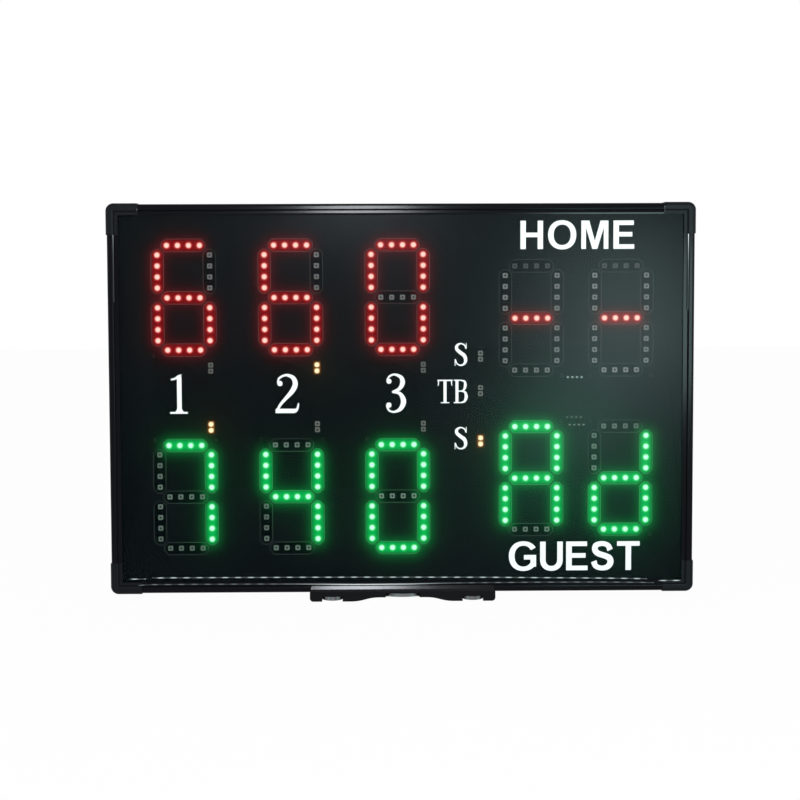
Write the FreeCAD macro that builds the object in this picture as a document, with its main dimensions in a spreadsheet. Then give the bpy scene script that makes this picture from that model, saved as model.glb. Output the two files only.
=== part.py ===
# Electronic scoreboard for a racket game: ten lamp digits behind a smoked window
# in a slim aluminium frame, on a clamp bracket that takes a tripod's screw.
# Millimetres. X runs to the viewer's right, Z up, and the lit face looks along -Y.
# The origin is the bottom centre of the whole object, where its bracket rests.
import FreeCAD, Part
import math
import os
import Sketcher

# Driving dimensions, each written once and kept in the sheet
SIZES = {
    # frame over its corner caps
    "board_width": 600.0,
    "board_height": 400.0,
    "board_depth": 40.0,
    # corner caps, which sleeve over the ends of the rails
    "cap_skin": 1.0,
    "cap_leg": 32.0,
    "cap_block": 22.0,
    "cap_radius": 8.0,
    # rail section
    "rail_wall": 1.5,
    "bead_width": 6.5,
    "bead_round": 2.5,
    "bead_inner_round": 1.2,
    "lip_width": 4.5,
    "lip_step": 3.0,
    "ledge_reach": 10.0,
    "panel_recess": 4.0,
    "panel_thickness": 2.0,
    # corner angles that join the rails inside
    "angle_leg": 42.0,
    "angle_width": 12.0,
    "angle_thickness": 1.5,
    "angle_back_gap": 1.0,
    "corner_screw_place": 37.0,
    "corner_screw_radius": 1.5,
    "corner_screw_head_radius": 2.8,
    "corner_screw_head": 0.9,
    # glazing
    "glazing_gap": 0.5,
    "gasket_thickness": 0.8,
    "gasket_width": 4.0,
    "window_thickness": 3.0,
    "mask_thickness": 1.5,
    "packer_width": 4.0,
    "packer_end_gap": 50.0,
    # digits
    "column_reach": 26.6,
    "row_rise": 53.4,
    "segment_rise": 26.9,
    "lamp_pitch": 11.2,
    "segment_width": 12.0,
    "segment_end": 5.4,
    "segment_chamfer": 4.0,
    # lamps
    "lamp_side": 5.0,
    "lamp_height": 1.6,
    "marker_drop": 72.0,
    "marker_pitch": 6.2,
    "marker_window_width": 8.0,
    "marker_window_height": 14.0,
    "serve_home_rise": 43.3,
    "serve_tie_rise": 7.8,
    "serve_guest_drop": 44.0,
    # digit boards
    "spacer_length": 2.4,
    "spacer_radius": 2.2,
    "pcb_thickness": 1.6,
    "pcb_width": 72.0,
    "pcb_half_height": 61.5,
    "pcb_tab": 18.5,
    "pcb_hole_edge": 4.5,
    "board_screw_radius": 1.25,
    "board_screw_head_radius": 2.3,
    "board_screw_head": 1.3,
    "serve_pcb_width": 17.0,
    "serve_pcb_end": 15.0,
    # ribbon links between the boards
    "plug_width": 16.0,
    "plug_height": 7.0,
    "plug_depth": 6.0,
    "plug_rise": 6.0,
    "ribbon_width": 12.0,
    "ribbon_thickness": 0.9,
    # control board on the rear panel
    "control_width": 110.0,
    "control_height": 44.0,
    "control_reach": 38.6,
    "control_stand": 4.0,
    "chip_size": 10.0,
    "chip_height": 2.0,
    "chip_pitch": 14.0,
    "driver_width": 6.0,
    "driver_height": 1.6,
    "capacitor_radius": 3.0,
    "capacitor_height": 3.4,
    "receiver_width": 16.0,
    "receiver_height": 30.0,
    "receiver_thickness": 1.0,
    "receiver_can": 2.5,
    "receiver_pin": 2.4,
    "antenna_length": 150.0,
    "antenna_radius": 0.8,
    # battery
    "cell_radius": 9.2,
    "cell_length": 65.0,
    "cell_gap": 0.5,
    "cradle_wall": 1.5,
    "cradle_floor": 1.2,
    "cradle_seat": 1.8,
    "contact_thickness": 0.8,
    "contact_width": 9.0,
    "battery_edge_gap": 13.1,
    "hatch_lap": 8.0,
    "hatch_lap_side": 10.0,
    "hatch_thickness": 1.5,
    # switch and charging socket
    "switch_rise": 50.0,
    "switch_bezel_width": 15.0,
    "switch_bezel_height": 21.0,
    "switch_bezel": 2.0,
    "switch_body_width": 12.6,
    "switch_body_height": 18.8,
    "switch_body_depth": 12.0,
    "switch_well": 7.0,
    "rocker_width": 10.4,
    "rocker_radius": 8.2,
    "rocker_gap": 0.35,
    "rocker_crest": 1.8,
    "rocker_dip": 1.4,
    "rocker_root": 3.2,
    "rocker_sink": 2.0,
    "pivot_radius": 1.2,
    "pivot_play": 0.05,
    "pivot_reach": 0.5,
    "terminal_length": 6.0,
    "terminal_width": 4.0,
    "terminal_thickness": 0.8,
    "jack_radius": 5.5,
    "jack_flange_radius": 7.0,
    "jack_flange": 1.4,
    "jack_depth": 12.0,
    "jack_bore_radius": 2.75,
    "jack_bore_depth": 9.5,
    "jack_pin_radius": 1.0,
    "jack_nut_radius": 8.0,
    "jack_nut": 2.0,
    "lead_radius": 0.9,
    "lead_bend": 8.0,
    "lead_pitch": 5.0,
    "lead_gap": 0.1,
    # rear panel fasteners
    "panel_screw_radius": 1.5,
    "panel_screw_head_radius": 2.8,
    "panel_screw_head": 1.8,
    "panel_screw_inset": 7.0,
    "screw_overrun": 2.0,
    # wall hangers
    "hanger_margin": 100.0,
    "hanger_length": 62.0,
    "hanger_bridge": 34.0,
    "hanger_height": 22.0,
    "hanger_thickness": 1.5,
    "hanger_rise": 3.5,
    "hanger_hole_radius": 4.0,
    "hanger_drop": 3.0,
    # clamp bracket under the bottom rail
    "bracket_length": 191.0,
    "bracket_drop": 9.2,
    "bracket_wall": 2.5,
    "hook_thickness": 1.0,
    "hook_foot": 1.0,
    "hook_lean": 1.1,
    "hook_round": 0.8,
    "rear_hook_thickness": 1.8,
    "hook_gap": 0.3,
    "arch_rise": 4.1,
    "lobe_width": 42.5,
    "arch_crown": 24.0,
    "end_round": 3.5,
    "end_slant": 2.2,
    # clamp screws, their pads and the wheel that holds the tripod's stud
    "wheel_margin": 23.2,
    "clamp_wheel_radius": 10.0,
    "clamp_wheel_height": 3.8,
    "clamp_wheel_lift": 0.9,
    "wheel_gap": 0.5,
    "wheel_top_gap": 0.3,
    "knurl_depth": 0.45,
    "stud_radius": 2.5,
    "stud_play": 0.05,
    "stud_tip_radius": 1.5,
    "stud_tip": 0.7,
    "pad_radius": 5.5,
    "pad_thickness": 1.2,
    "pad_gap": 0.3,
    "pad_travel": 0.8,
    "pad_floor_gap": 0.1,
    "tripod_wheel_radius": 17.0,
    "tripod_wheel_height": 3.4,
    "tripod_hub_radius": 7.0,
    "tripod_thread_radius": 3.175,
    "tripod_stud_gap": 0.4,
    "retainer_thickness": 1.0,
    "retainer_front": 7.5,
    "retainer_screw_place": 20.5,
    "retainer_screw_inset": 7.0,
    "retainer_screw_radius": 1.5,
    "retainer_screw_head_radius": 2.7,
    "retainer_screw_length": 4.0,
    # reach of a cut past the face it starts from
    "overrun": 5.0,
}

# Gaps between the digit boards, as shares of the width and height they leave free
left_gap_share = 0.1852
set_gap_share = 0.1664
serve_front_share = 0.1838
serve_rear_share = 0.0336
game_gap_share = 0.0897
set_top_share = 0.294
set_middle_share = 0.3829
game_top_share = 0.5624
game_middle_share = 0.4186
# Gaps between socket, switch and hatch, as shares of the row that they leave free
socket_gap_share = 0.2819
switch_gap_share = 0.0779
hatch_gap_share = 0.2626

KNURLS_PER_CLAMP_WHEEL = 40
KNURLS_PER_TRIPOD_WHEEL = 64
LAMPS_PER_SEGMENT = 4
PANEL_SCREWS_ACROSS = 5

doc = FreeCAD.newDocument("scoreboard")
sheet = doc.addObject("Spreadsheet::Sheet", "Sizes")


# A size knows its value and the sheet formula that gives it
class Size:
    def __init__(self, value, formula):
        self.value = float(value)
        self.formula = formula

    def __float__(self):
        return self.value

    def __add__(self, other):
        return join(self, "+", other, self.value + float(other))

    def __radd__(self, other):
        return join(other, "+", self, float(other) + self.value)

    def __sub__(self, other):
        return join(self, "-", other, self.value - float(other))

    def __rsub__(self, other):
        return join(other, "-", self, float(other) - self.value)

    def __mul__(self, other):
        return join(self, "*", other, self.value * float(other))

    def __rmul__(self, other):
        return join(other, "*", self, float(other) * self.value)

    def __truediv__(self, other):
        return join(self, "/", other, self.value / float(other))

    def __neg__(self):
        return Size(-self.value, "(0 - " + self.formula + ")")


def formula_of(value):
    return value.formula if isinstance(value, Size) else repr(float(value))


def join(left, sign, right, value):
    return Size(value, "(" + formula_of(left) + " " + sign + " " + formula_of(right) + ")")


def distance(across, along):
    formula = "hypot(" + formula_of(across) + "; " + formula_of(along) + ")"
    return Size(math.hypot(across, along), formula)


class Sheet:
    pass


s = Sheet()
for row, (name, value) in enumerate(SIZES.items(), start=1):
    cell = "A" + str(row)
    sheet.set(cell, str(value))
    sheet.setAlias(cell, name)
    setattr(s, name, Size(value, "Sizes." + name))
ZERO = Size(0, "0")
doc.recompute()

# Places worked out from the driving dimensions
half_width = s.board_width / 2
half_height = s.board_height / 2
rail_bottom = s.bracket_drop
middle = rail_bottom - s.cap_skin + half_height
cap_front = -s.board_depth / 2
cap_back = s.board_depth / 2
rail_front = cap_front + s.cap_skin
rail_back = cap_back - s.cap_skin
lip_front = rail_front + s.lip_step
lip_back = lip_front + s.rail_wall
lip_edge = s.bead_width + s.lip_width
window_front = lip_back + s.gasket_thickness
window_back = window_front + s.window_thickness
mask_back = window_back + s.mask_thickness
pcb_front = mask_back + s.spacer_length
pcb_back = pcb_front + s.pcb_thickness
panel_back = rail_back - s.panel_recess
panel_front = panel_back - s.panel_thickness
ledge_front = panel_front - s.rail_wall
wall_inset = s.cap_skin + s.rail_wall
glass_inset = wall_inset + s.glazing_gap
glass_round = s.cap_radius - glass_inset
ribbon_front = pcb_back + s.plug_depth
ribbon_back = ribbon_front + s.ribbon_thickness
control_back = panel_front - s.control_stand
control_front = control_back - s.pcb_thickness
angle_back = ledge_front - s.angle_back_gap
angle_front = angle_back - s.angle_width
angle_middle = (angle_front + angle_back) / 2
angle_inner = wall_inset + s.angle_thickness
bay_half_width = s.cell_length + s.cell_gap + s.contact_thickness * 2
bay_half_height = s.cell_radius * 2 + s.cell_gap
cradle_height = (bay_half_height + s.cradle_wall) * 2
battery_z = middle - half_height + s.battery_edge_gap + cradle_height / 2

pieces = []
cuts = []


# Small helpers: each makes one feature and ties its sizes to the sheet
def point(x, y, z=0.0):
    return FreeCAD.Vector(float(x), float(y), float(z))


def bind(feature, prop, size):
    feature.setExpression(prop, formula_of(size))


def new_body(label):
    body = doc.addObject("PartDesign::Body", label)
    body.Label = label
    pieces.append(body)
    return body


def new_shape(label, shape):
    piece = doc.addObject("Part::Feature", label)
    piece.Shape = shape
    piece.Label = label
    piece.Placement = FreeCAD.Placement()
    pieces.append(piece)
    return piece


def new_sketch(body, plane_role, lift=ZERO):
    drawing = body.newObject("Sketcher::SketchObject", "outline")
    plane = next(item for item in body.Origin.OriginFeatures if item.Role == plane_role)
    drawing.AttachmentSupport = [(plane, "")]
    drawing.MapMode = "FlatFace"
    bind(drawing, "AttachmentOffset.Base.z", lift)
    return drawing


def same_place(a, b):
    return a, b


# A closed outline through stops; a stop of four numbers is reached by an arc
# about the centre that its last two give
def draw(drawing, path, place=same_place):
    stops = [place(stop[0], stop[1]) for stop in path]
    centres = [place(stop[2], stop[3]) if len(stop) == 4 else None for stop in path]
    first = drawing.GeometryCount
    edges = []
    ends = []
    for index, stop in enumerate(stops):
        start = point(*stops[index - 1])
        end = point(*stop)
        if centres[index] is None:
            edges.append(Part.LineSegment(start, end))
            ends.append((1, 2))
            continue
        centre = point(*centres[index])
        toward = (start + end) * 0.5 - centre
        toward.normalize()
        edges.append(Part.Arc(start, centre + toward * start.distanceToPoint(centre), end))
        turn = (start - centre).cross(end - centre)
        ends.append((1, 2) if turn.z > 0 else (2, 1))
    drawing.addGeometry(edges, False)
    rules = []
    formulas = []
    for index, stop in enumerate(stops):
        here = first + index
        after = (index + 1) % len(stops)
        rules.append(Sketcher.Constraint(
            "Coincident", here, ends[index][1], first + after, ends[after][0]))
        formulas.append(None)
        for kind, size in zip(("DistanceX", "DistanceY"), stop):
            rules.append(Sketcher.Constraint(kind, here, ends[index][1], float(size)))
            formulas.append(formula_of(size))
        if centres[index] is not None:
            radius = distance(stop[0] - centres[index][0], stop[1] - centres[index][1])
            rules.append(Sketcher.Constraint("Radius", here, float(radius)))
            formulas.append(radius.formula)
    tie(drawing, rules, formulas)


def tie(drawing, rules, formulas):
    start = drawing.ConstraintCount
    drawing.addConstraint(rules)
    for index, formula in enumerate(formulas):
        if formula is not None:
            drawing.setExpression("Constraints[" + str(start + index) + "]", formula)


def draw_circles(drawing, centres, radius):
    first = drawing.GeometryCount
    upward = FreeCAD.Vector(0, 0, 1)
    circles = [Part.Circle(point(*centre), upward, float(radius)) for centre in centres]
    drawing.addGeometry(circles, False)
    rules = []
    formulas = []
    for index, centre in enumerate(centres):
        for kind, size in zip(("DistanceX", "DistanceY"), centre):
            rules.append(Sketcher.Constraint(kind, first + index, 3, float(size)))
            formulas.append(formula_of(size))
        rules.append(Sketcher.Constraint("Radius", first + index, float(radius)))
        formulas.append(formula_of(radius))
    tie(drawing, rules, formulas)


def box_path(left, right, low, high):
    return [(left, low), (right, low), (right, high), (left, high)]


def rounded_path(left, right, low, high, r):
    return [
        (right - r, low), (right, low + r, right - r, low + r),
        (right, high - r), (right - r, high, right - r, high - r),
        (left + r, high), (left, high - r, left + r, high - r),
        (left, low + r), (left + r, low, left + r, low + r),
    ]


def add_pad(body, drawing, length, symmetric=False):
    pad = body.newObject("PartDesign::Pad", "pad")
    pad.Profile = drawing
    if symmetric:
        pad.SideType = "Symmetric"
    bind(pad, "Length", length)
    return pad


def add_pocket(body, drawing, length=None, along_normal=False):
    base = body.Tip
    pocket = body.newObject("PartDesign::Pocket", "pocket")
    pocket.Profile = drawing
    if length is None:
        pocket.Type = "ThroughAll"
        pocket.SideType = "Symmetric"
    else:
        bind(pocket, "Length", length)
        pocket.Reversed = along_normal
    cuts.append((base, pocket))
    return pocket


# A flat plate that lies across the board, from its back face forward
def add_plate(label, path, back, thickness, holes=(), inner=()):
    body = new_body(label)
    drawing = new_sketch(body, "XZ_Plane", -back)
    draw(drawing, path)
    for centres, radius in holes:
        draw_circles(drawing, centres, radius)
    for opening in inner:
        draw(drawing, opening)
    add_pad(body, drawing, thickness)
    return body


# Solids made with plain shape calls
def box(left, right, front, back, low, high):
    corner = point(left, front, low)
    return Part.makeBox(float(right - left), float(back - front), float(high - low), corner)


def rod(radius, x, z, front, back):
    return Part.makeCylinder(float(radius), float(back - front), point(x, front, z), point(0, 1, 0))


def post(radius, x, y, low, high):
    return Part.makeCylinder(float(radius), float(high - low), point(x, y, low), point(0, 0, 1))


def screw_from_back(x, z, seat, tip, radius, head_radius, head):
    return rod(radius, x, z, tip, seat).fuse(rod(head_radius, x, z, seat, seat + head)).removeSplitter()


# Rail section, as depth and as inset from the rail's outer face
BEAD_STOPS = [
    (rail_front, s.bead_round, rail_front + s.bead_round, s.bead_round),
    (rail_front, s.bead_width - s.bead_inner_round),
    (rail_front + s.bead_inner_round, s.bead_width,
     rail_front + s.bead_inner_round, s.bead_width - s.bead_inner_round),
    (lip_front, s.bead_width),
]
RAIL_SECTION = [(rail_front + s.bead_round, ZERO)] + BEAD_STOPS + [
    (lip_front, lip_edge),
    (lip_back, lip_edge),
    (lip_back, s.bead_width - s.rail_wall),
    (rail_front + s.rail_wall, s.bead_width - s.rail_wall),
    (rail_front + s.rail_wall, s.rail_wall),
    (ledge_front, s.rail_wall),
    (ledge_front, s.ledge_reach),
    (panel_front, s.ledge_reach),
    (panel_front, s.rail_wall),
    (rail_back, s.rail_wall),
    (rail_back, ZERO),
]
RAIL_ENVELOPE = [(rail_front + s.bead_round, ZERO)] + BEAD_STOPS + [
    (lip_front, lip_edge + s.overrun),
    (rail_back, lip_edge + s.overrun),
    (rail_back, ZERO),
]


def level_rail_place(side):
    def place(depth, inset):
        return depth, middle + side * (half_height - s.cap_skin - inset)
    return place


def upright_rail_place(side):
    def place(depth, inset):
        return side * (half_width - s.cap_skin - inset), depth
    return place


def panel_screw_places(side, level):
    if not level:
        return [(side * (half_width - s.panel_screw_inset), middle)]
    span = half_width - s.cap_leg
    row = middle + side * (half_height - s.panel_screw_inset)
    gaps = PANEL_SCREWS_ACROSS - 1
    return [(span * (count * 2 / gaps - 1), row) for count in range(PANEL_SCREWS_ACROSS)]


def hanger_screw_places(side):
    across = (s.hanger_length + s.hanger_bridge) / 4
    row = middle + half_height - s.panel_screw_inset
    return [((half_width - s.hanger_margin) * side + across * end, row) for end in (-1, 1)]


def drill_ledge(body, places):
    drawing = new_sketch(body, "XZ_Plane", -panel_front)
    draw_circles(drawing, places, s.panel_screw_radius)
    add_pocket(body, drawing, s.rail_wall, along_normal=True)


def make_level_rail(label, side):
    body = new_body(label)
    drawing = new_sketch(body, "YZ_Plane")
    draw(drawing, RAIL_SECTION, level_rail_place(side))
    add_pad(body, drawing, s.board_width - s.cap_block * 2, symmetric=True)
    drawing = new_sketch(body, "XY_Plane", middle + side * (half_height - s.cap_skin))
    reach = half_width - s.corner_screw_place
    draw_circles(drawing, [(-reach, angle_middle), (reach, angle_middle)], s.corner_screw_radius)
    add_pocket(body, drawing, s.rail_wall, along_normal=side < 0)
    places = panel_screw_places(side, True)
    if side > 0:
        places = places + hanger_screw_places(-1) + hanger_screw_places(1)
    drill_ledge(body, places)


def make_upright_rail(label, side):
    body = new_body(label)
    drawing = new_sketch(body, "XY_Plane", middle)
    draw(drawing, RAIL_SECTION, upright_rail_place(side))
    add_pad(body, drawing, s.board_height - s.cap_block * 2, symmetric=True)
    drawing = new_sketch(body, "YZ_Plane", side * (half_width - s.cap_skin))
    reach = half_height - s.corner_screw_place
    draw_circles(drawing, [(angle_middle, middle - reach), (angle_middle, middle + reach)],
                 s.corner_screw_radius)
    add_pocket(body, drawing, s.rail_wall, along_normal=side < 0)
    drill_ledge(body, panel_screw_places(side, False))


make_level_rail("top_rail", 1)
make_level_rail("bottom_rail", -1)
make_upright_rail("left_rail", -1)
make_upright_rail("right_rail", 1)


# Corner cap: a moulded corner whose two sleeves wrap the rails' ends
def corner_place(side, rise):
    def place(across, up):
        return side * (half_width - across), middle + rise * (half_height - up)
    return place


def corner_path(inner, inner_radius=None):
    radius = s.cap_radius
    path = [
        (s.cap_leg, ZERO), (radius, ZERO), (ZERO, radius, radius, radius),
        (ZERO, s.cap_leg), (inner, s.cap_leg),
    ]
    if inner_radius is None:
        return path + [(inner, inner), (s.cap_leg, inner)]
    centre = inner + inner_radius
    return path + [(inner, centre), (centre, inner, centre, centre), (s.cap_leg, inner)]


# Edges of the front face that run along the legs, on its outer or its inner rim
def rim_edges(shape, rim, outer):
    names = []
    for index, edge in enumerate(shape.Edges, start=1):
        at_front = edge.BoundBox.YMax < float(cap_front + s.cap_skin / 2)
        if not at_front or edge.Length <= float(rim):
            continue
        spot = edge.CenterOfMass
        reach = min(half_width.value - abs(spot.x), half_height.value - abs(spot.z - middle.value))
        if (reach < float(rim / 2)) == outer:
            names.append("Edge" + str(index))
    return names


def make_corner_cap(label, side, rise):
    body = new_body(label)
    place = corner_place(side, rise)
    rim = s.cap_skin + s.bead_width + s.cap_skin
    drawing = new_sketch(body, "XZ_Plane", -lip_back)
    draw(drawing, corner_path(rim), place)
    add_pad(body, drawing, lip_back - cap_front)
    for outer, radius in ((True, s.bead_round + s.cap_skin), (False, s.bead_inner_round + s.cap_skin / 2)):
        doc.recompute()
        base = body.Tip
        fillet = body.newObject("PartDesign::Fillet", "rim_round")
        fillet.Base = (base, rim_edges(base.Shape, rim, outer))
        bind(fillet, "Radius", radius)
    layers = (
        (s.cap_skin + lip_edge, None, lip_front - s.cap_skin, lip_back),
        (wall_inset, s.cap_radius - wall_inset, lip_back, cap_back),
        (s.cap_skin + s.ledge_reach, None, ledge_front, panel_front),
    )
    for inner, inner_radius, front, back in layers:
        drawing = new_sketch(body, "XZ_Plane", -back)
        draw(drawing, corner_path(inner, inner_radius), place)
        add_pad(body, drawing, back - front)
    sleeve = s.cap_leg - s.cap_block + s.overrun
    drawing = new_sketch(body, "YZ_Plane", side * (half_width - s.cap_block))
    draw(drawing, RAIL_ENVELOPE, level_rail_place(rise))
    add_pocket(body, drawing, sleeve, along_normal=side < 0)
    drawing = new_sketch(body, "XY_Plane", middle + rise * (half_height - s.cap_block))
    draw(drawing, RAIL_ENVELOPE, upright_rail_place(side))
    add_pocket(body, drawing, sleeve, along_normal=rise < 0)


CORNERS = (
    ("top_left", -1, 1),
    ("top_right", 1, 1),
    ("bottom_left", -1, -1),
    ("bottom_right", 1, -1),
)
for name, side, rise in CORNERS:
    make_corner_cap("corner_cap_" + name, side, rise)


# Steel angles inside the corners, and the screws that hold the rails to them
def make_corner_angle(side, rise):
    place = corner_place(side, rise)
    bend = s.cap_radius - wall_inset
    rim = s.cap_radius
    inner_bend = bend - s.angle_thickness
    cut = math.sqrt(0.5)

    def arc_point(radius):
        return place(rim - radius * cut, rim - radius * cut)

    stops = [place(s.angle_leg, wall_inset), place(rim, wall_inset), place(wall_inset, rim),
             place(wall_inset, s.angle_leg), place(angle_inner, s.angle_leg), place(angle_inner, rim),
             place(rim, angle_inner), place(s.angle_leg, angle_inner)]
    spots = [point(x, angle_front, z) for x, z in stops]

    def bend_edge(start, radius, end):
        x, z = arc_point(radius)
        return Part.Arc(start, point(x, angle_front, z), end).toShape()

    edges = [
        Part.makeLine(spots[0], spots[1]),
        bend_edge(spots[1], bend, spots[2]),
        Part.makeLine(spots[2], spots[3]),
        Part.makeLine(spots[3], spots[4]),
        Part.makeLine(spots[4], spots[5]),
        bend_edge(spots[5], inner_bend, spots[6]),
        Part.makeLine(spots[6], spots[7]),
        Part.makeLine(spots[7], spots[0]),
    ]
    solid = Part.Face(Part.Wire(edges)).extrude(point(0, s.angle_width))
    for hole in make_corner_screws(side, rise, False):
        solid = solid.cut(hole)
    return solid


def make_corner_screws(side, rise, with_head):
    screws = []
    for level in (True, False):
        if level:
            spot = point(side * (half_width - s.corner_screw_place), angle_middle,
                         middle + rise * (half_height - s.cap_skin))
            inward = point(0, 0, -rise)
        else:
            spot = point(side * (half_width - s.cap_skin), angle_middle,
                         middle + rise * (half_height - s.corner_screw_place))
            inward = point(-side, 0, 0)
        shank = Part.makeCylinder(float(s.corner_screw_radius),
                                  float(s.rail_wall + s.angle_thickness + s.angle_thickness), spot, inward)
        if with_head:
            head = Part.makeCylinder(float(s.corner_screw_head_radius), float(s.corner_screw_head),
                                     spot, inward * -1)
            shank = shank.fuse(head).removeSplitter()
        screws.append(shank)
    return screws


angles = []
corner_screws = []
for name, side, rise in CORNERS:
    angles.append(make_corner_angle(side, rise))
    corner_screws.extend(make_corner_screws(side, rise, True))
new_shape("corner_angles", Part.makeCompound(angles))
new_shape("corner_screws", Part.makeCompound(corner_screws))


# Smoked window with its foam seal
def glass_path(inset, radius):
    return rounded_path(inset - half_width, half_width - inset,
                        middle - half_height + inset, middle + half_height - inset, radius)


add_plate("front_window", glass_path(glass_inset, glass_round), window_back, s.window_thickness)
seal_outer = s.cap_skin + s.bead_width - s.rail_wall + s.glazing_gap
seal_inner = seal_outer + s.gasket_width
add_plate(
    "window_gasket",
    box_path(seal_outer - half_width, half_width - seal_outer,
             middle - half_height + seal_outer, middle + half_height - seal_outer),
    window_front, s.gasket_thickness,
    inner=[box_path(seal_inner - half_width, half_width - seal_inner,
                    middle - half_height + seal_inner, middle + half_height - seal_inner)])


# Places of the ten digits: a name, a centre, whether a marker tab hangs from it
# and to which side of the digit that tab lies
free_width = s.board_width - s.pcb_width * 5 - s.serve_pcb_width
set_height = s.pcb_half_height * 2 + s.pcb_tab
free_set_height = s.board_height - set_height * 2
free_game_height = s.board_height - s.pcb_half_height * 4 - cradle_height - s.battery_edge_gap
first_column = free_width * left_gap_share - half_width + s.pcb_width / 2
set_pitch = s.pcb_width + free_width * set_gap_share
last_set_edge = first_column + set_pitch * 2 + s.pcb_width / 2
serve_column = last_set_edge + free_width * serve_front_share + s.serve_pcb_width / 2
first_game = (serve_column + s.serve_pcb_width / 2 + free_width * serve_rear_share + s.pcb_width / 2)
game_pitch = s.pcb_width + free_width * game_gap_share
top = middle + half_height
home_set_row = top - free_set_height * set_top_share - s.pcb_half_height
guest_set_row = home_set_row - set_height - s.pcb_tab - free_set_height * set_middle_share
home_game_row = top - free_game_height * game_top_share - s.pcb_half_height
guest_game_row = home_game_row - s.pcb_half_height * 2 - free_game_height * game_middle_share


def digit_places():
    places = []
    for count in range(3):
        column = first_column + set_pitch * count
        places.append(("home_set_" + str(count + 1), column, home_set_row, -1))
        places.append(("guest_set_" + str(count + 1), column, guest_set_row, 1))
    for count, name in enumerate(("left", "right")):
        column = first_game + game_pitch * count
        places.append(("home_game_" + name, column, home_game_row, 0))
        places.append(("guest_game_" + name, column, guest_game_row, 0))
    return places


DIGITS = digit_places()
# Segments: how far across, how far up, and whether the segment stands upright
SEGMENTS = (
    (0, 1, False), (0, 0, False), (0, -1, False),
    (-1, 1, True), (1, 1, True), (-1, -1, True), (1, -1, True),
)
SERVE_ROWS = (middle + s.serve_home_rise, middle + s.serve_tie_rise, middle - s.serve_guest_drop)


def segment_centre(across, up, upright):
    if upright:
        return s.column_reach * across, s.segment_rise * up
    return ZERO, s.row_rise * up


def marker_centre(column, row, tab):
    return column + s.column_reach, row + s.marker_drop * tab


# Black mask with an eight-sided opening for each segment and a slot for each pair
def opening_wire(x, z, upright):
    reach = s.lamp_pitch * (LAMPS_PER_SEGMENT - 1) / 2 + s.segment_end
    side = s.segment_width / 2
    cut = s.segment_chamfer
    stops = [(-reach, -side + cut), (-reach + cut, -side), (reach - cut, -side), (reach, -side + cut),
             (reach, side - cut), (reach - cut, side), (-reach + cut, side), (-reach, side - cut)]
    if upright:
        stops = [(up, across) for across, up in stops]
    spots = [point(x + across, window_back, z + up) for across, up in stops]
    return Part.makePolygon(spots + spots[:1])


def slot_wire(x, z):
    across = s.marker_window_width / 2
    up = s.marker_window_height / 2
    corners = ((-across, -up), (across, -up), (across, up), (-across, up))
    spots = [point(x + dx, window_back, z + dz) for dx, dz in corners]
    return Part.makePolygon(spots + spots[:1])


def make_mask():
    holes = []
    for name, column, row, tab in DIGITS:
        for across, up, upright in SEGMENTS:
            dx, dz = segment_centre(across, up, upright)
            holes.append(opening_wire(column + dx, row + dz, upright))
        if tab:
            holes.append(slot_wire(*marker_centre(column, row, tab)))
    for row in SERVE_ROWS:
        holes.append(slot_wire(serve_column, row))
    blank = Part.makeBox(float(s.board_width - glass_inset * 2), float(s.mask_thickness),
                         float(s.board_height - glass_inset * 2),
                         point(glass_inset - half_width, window_back, middle - half_height + glass_inset))
    standing = [edge for edge in blank.Edges if abs(edge.tangentAt(edge.FirstParameter).y) > 0.9]
    blank = blank.makeFillet(float(glass_round), standing)
    front = min(blank.Faces, key=lambda face: face.CenterOfMass.y)
    face = Part.makeFace([front.OuterWire] + holes, "Part::FaceMakerBullseye")
    return face.extrude(point(0, s.mask_thickness))


new_shape("segment_mask", make_mask())


# Packing strips in the rails' channels hold window and mask against the lip
def make_packers():
    strips = []
    near = wall_inset
    far = wall_inset + s.packer_width
    long_reach = half_width - s.packer_end_gap
    short_reach = half_height - s.packer_end_gap
    for side in (-1, 1):
        low, high = sorted((middle + side * (half_height - inset) for inset in (far, near)), key=float)
        strips.append(box(-long_reach, long_reach, mask_back, ledge_front, low, high))
        left, right = sorted((side * (half_width - inset) for inset in (far, near)), key=float)
        strips.append(box(left, right, mask_back, ledge_front, middle - short_reach, middle + short_reach))
    return Part.makeCompound(strips)


new_shape("window_packers", make_packers())


# Lamps: small square surface lamps
def lamp(x, z):
    half = s.lamp_side / 2
    return box(x - half, x + half, pcb_front - s.lamp_height, pcb_front, z - half, z + half)


def digit_lamps(column, row):
    lamps = []
    for across, up, upright in SEGMENTS:
        dx, dz = segment_centre(across, up, upright)
        for count in range(LAMPS_PER_SEGMENT):
            step = s.lamp_pitch * (count - (LAMPS_PER_SEGMENT - 1) / 2)
            x = column + dx + (0 if upright else step)
            z = row + dz + (step if upright else 0)
            lamps.append(lamp(x, z))
    return lamps


def lamp_pair(x, z):
    return [lamp(x, z + s.marker_pitch / 2 * end) for end in (-1, 1)]


for team in ("home", "guest"):
    lamps = []
    for name, column, row, tab in DIGITS:
        if name.startswith(team):
            lamps.extend(digit_lamps(column, row))
    new_shape(team + "_lamps", Part.makeCompound(lamps))
marker_lamps = []
for name, column, row, tab in DIGITS:
    if tab:
        marker_lamps.extend(lamp_pair(*marker_centre(column, row, tab)))
for row in SERVE_ROWS:
    marker_lamps.extend(lamp_pair(serve_column, row))
new_shape("marker_lamps", Part.makeCompound(marker_lamps))


# Digit boards on spacers behind the mask
def board_holes(column, row):
    across = s.pcb_width / 2 - s.pcb_hole_edge
    up = s.pcb_half_height - s.pcb_hole_edge / 2
    return [(column + across * a, row + up * b) for a in (-1, 1) for b in (-1, 1)]


def serve_holes():
    return [(serve_column, serve_low + s.pcb_hole_edge), (serve_column, serve_high - s.pcb_hole_edge)]


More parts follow.
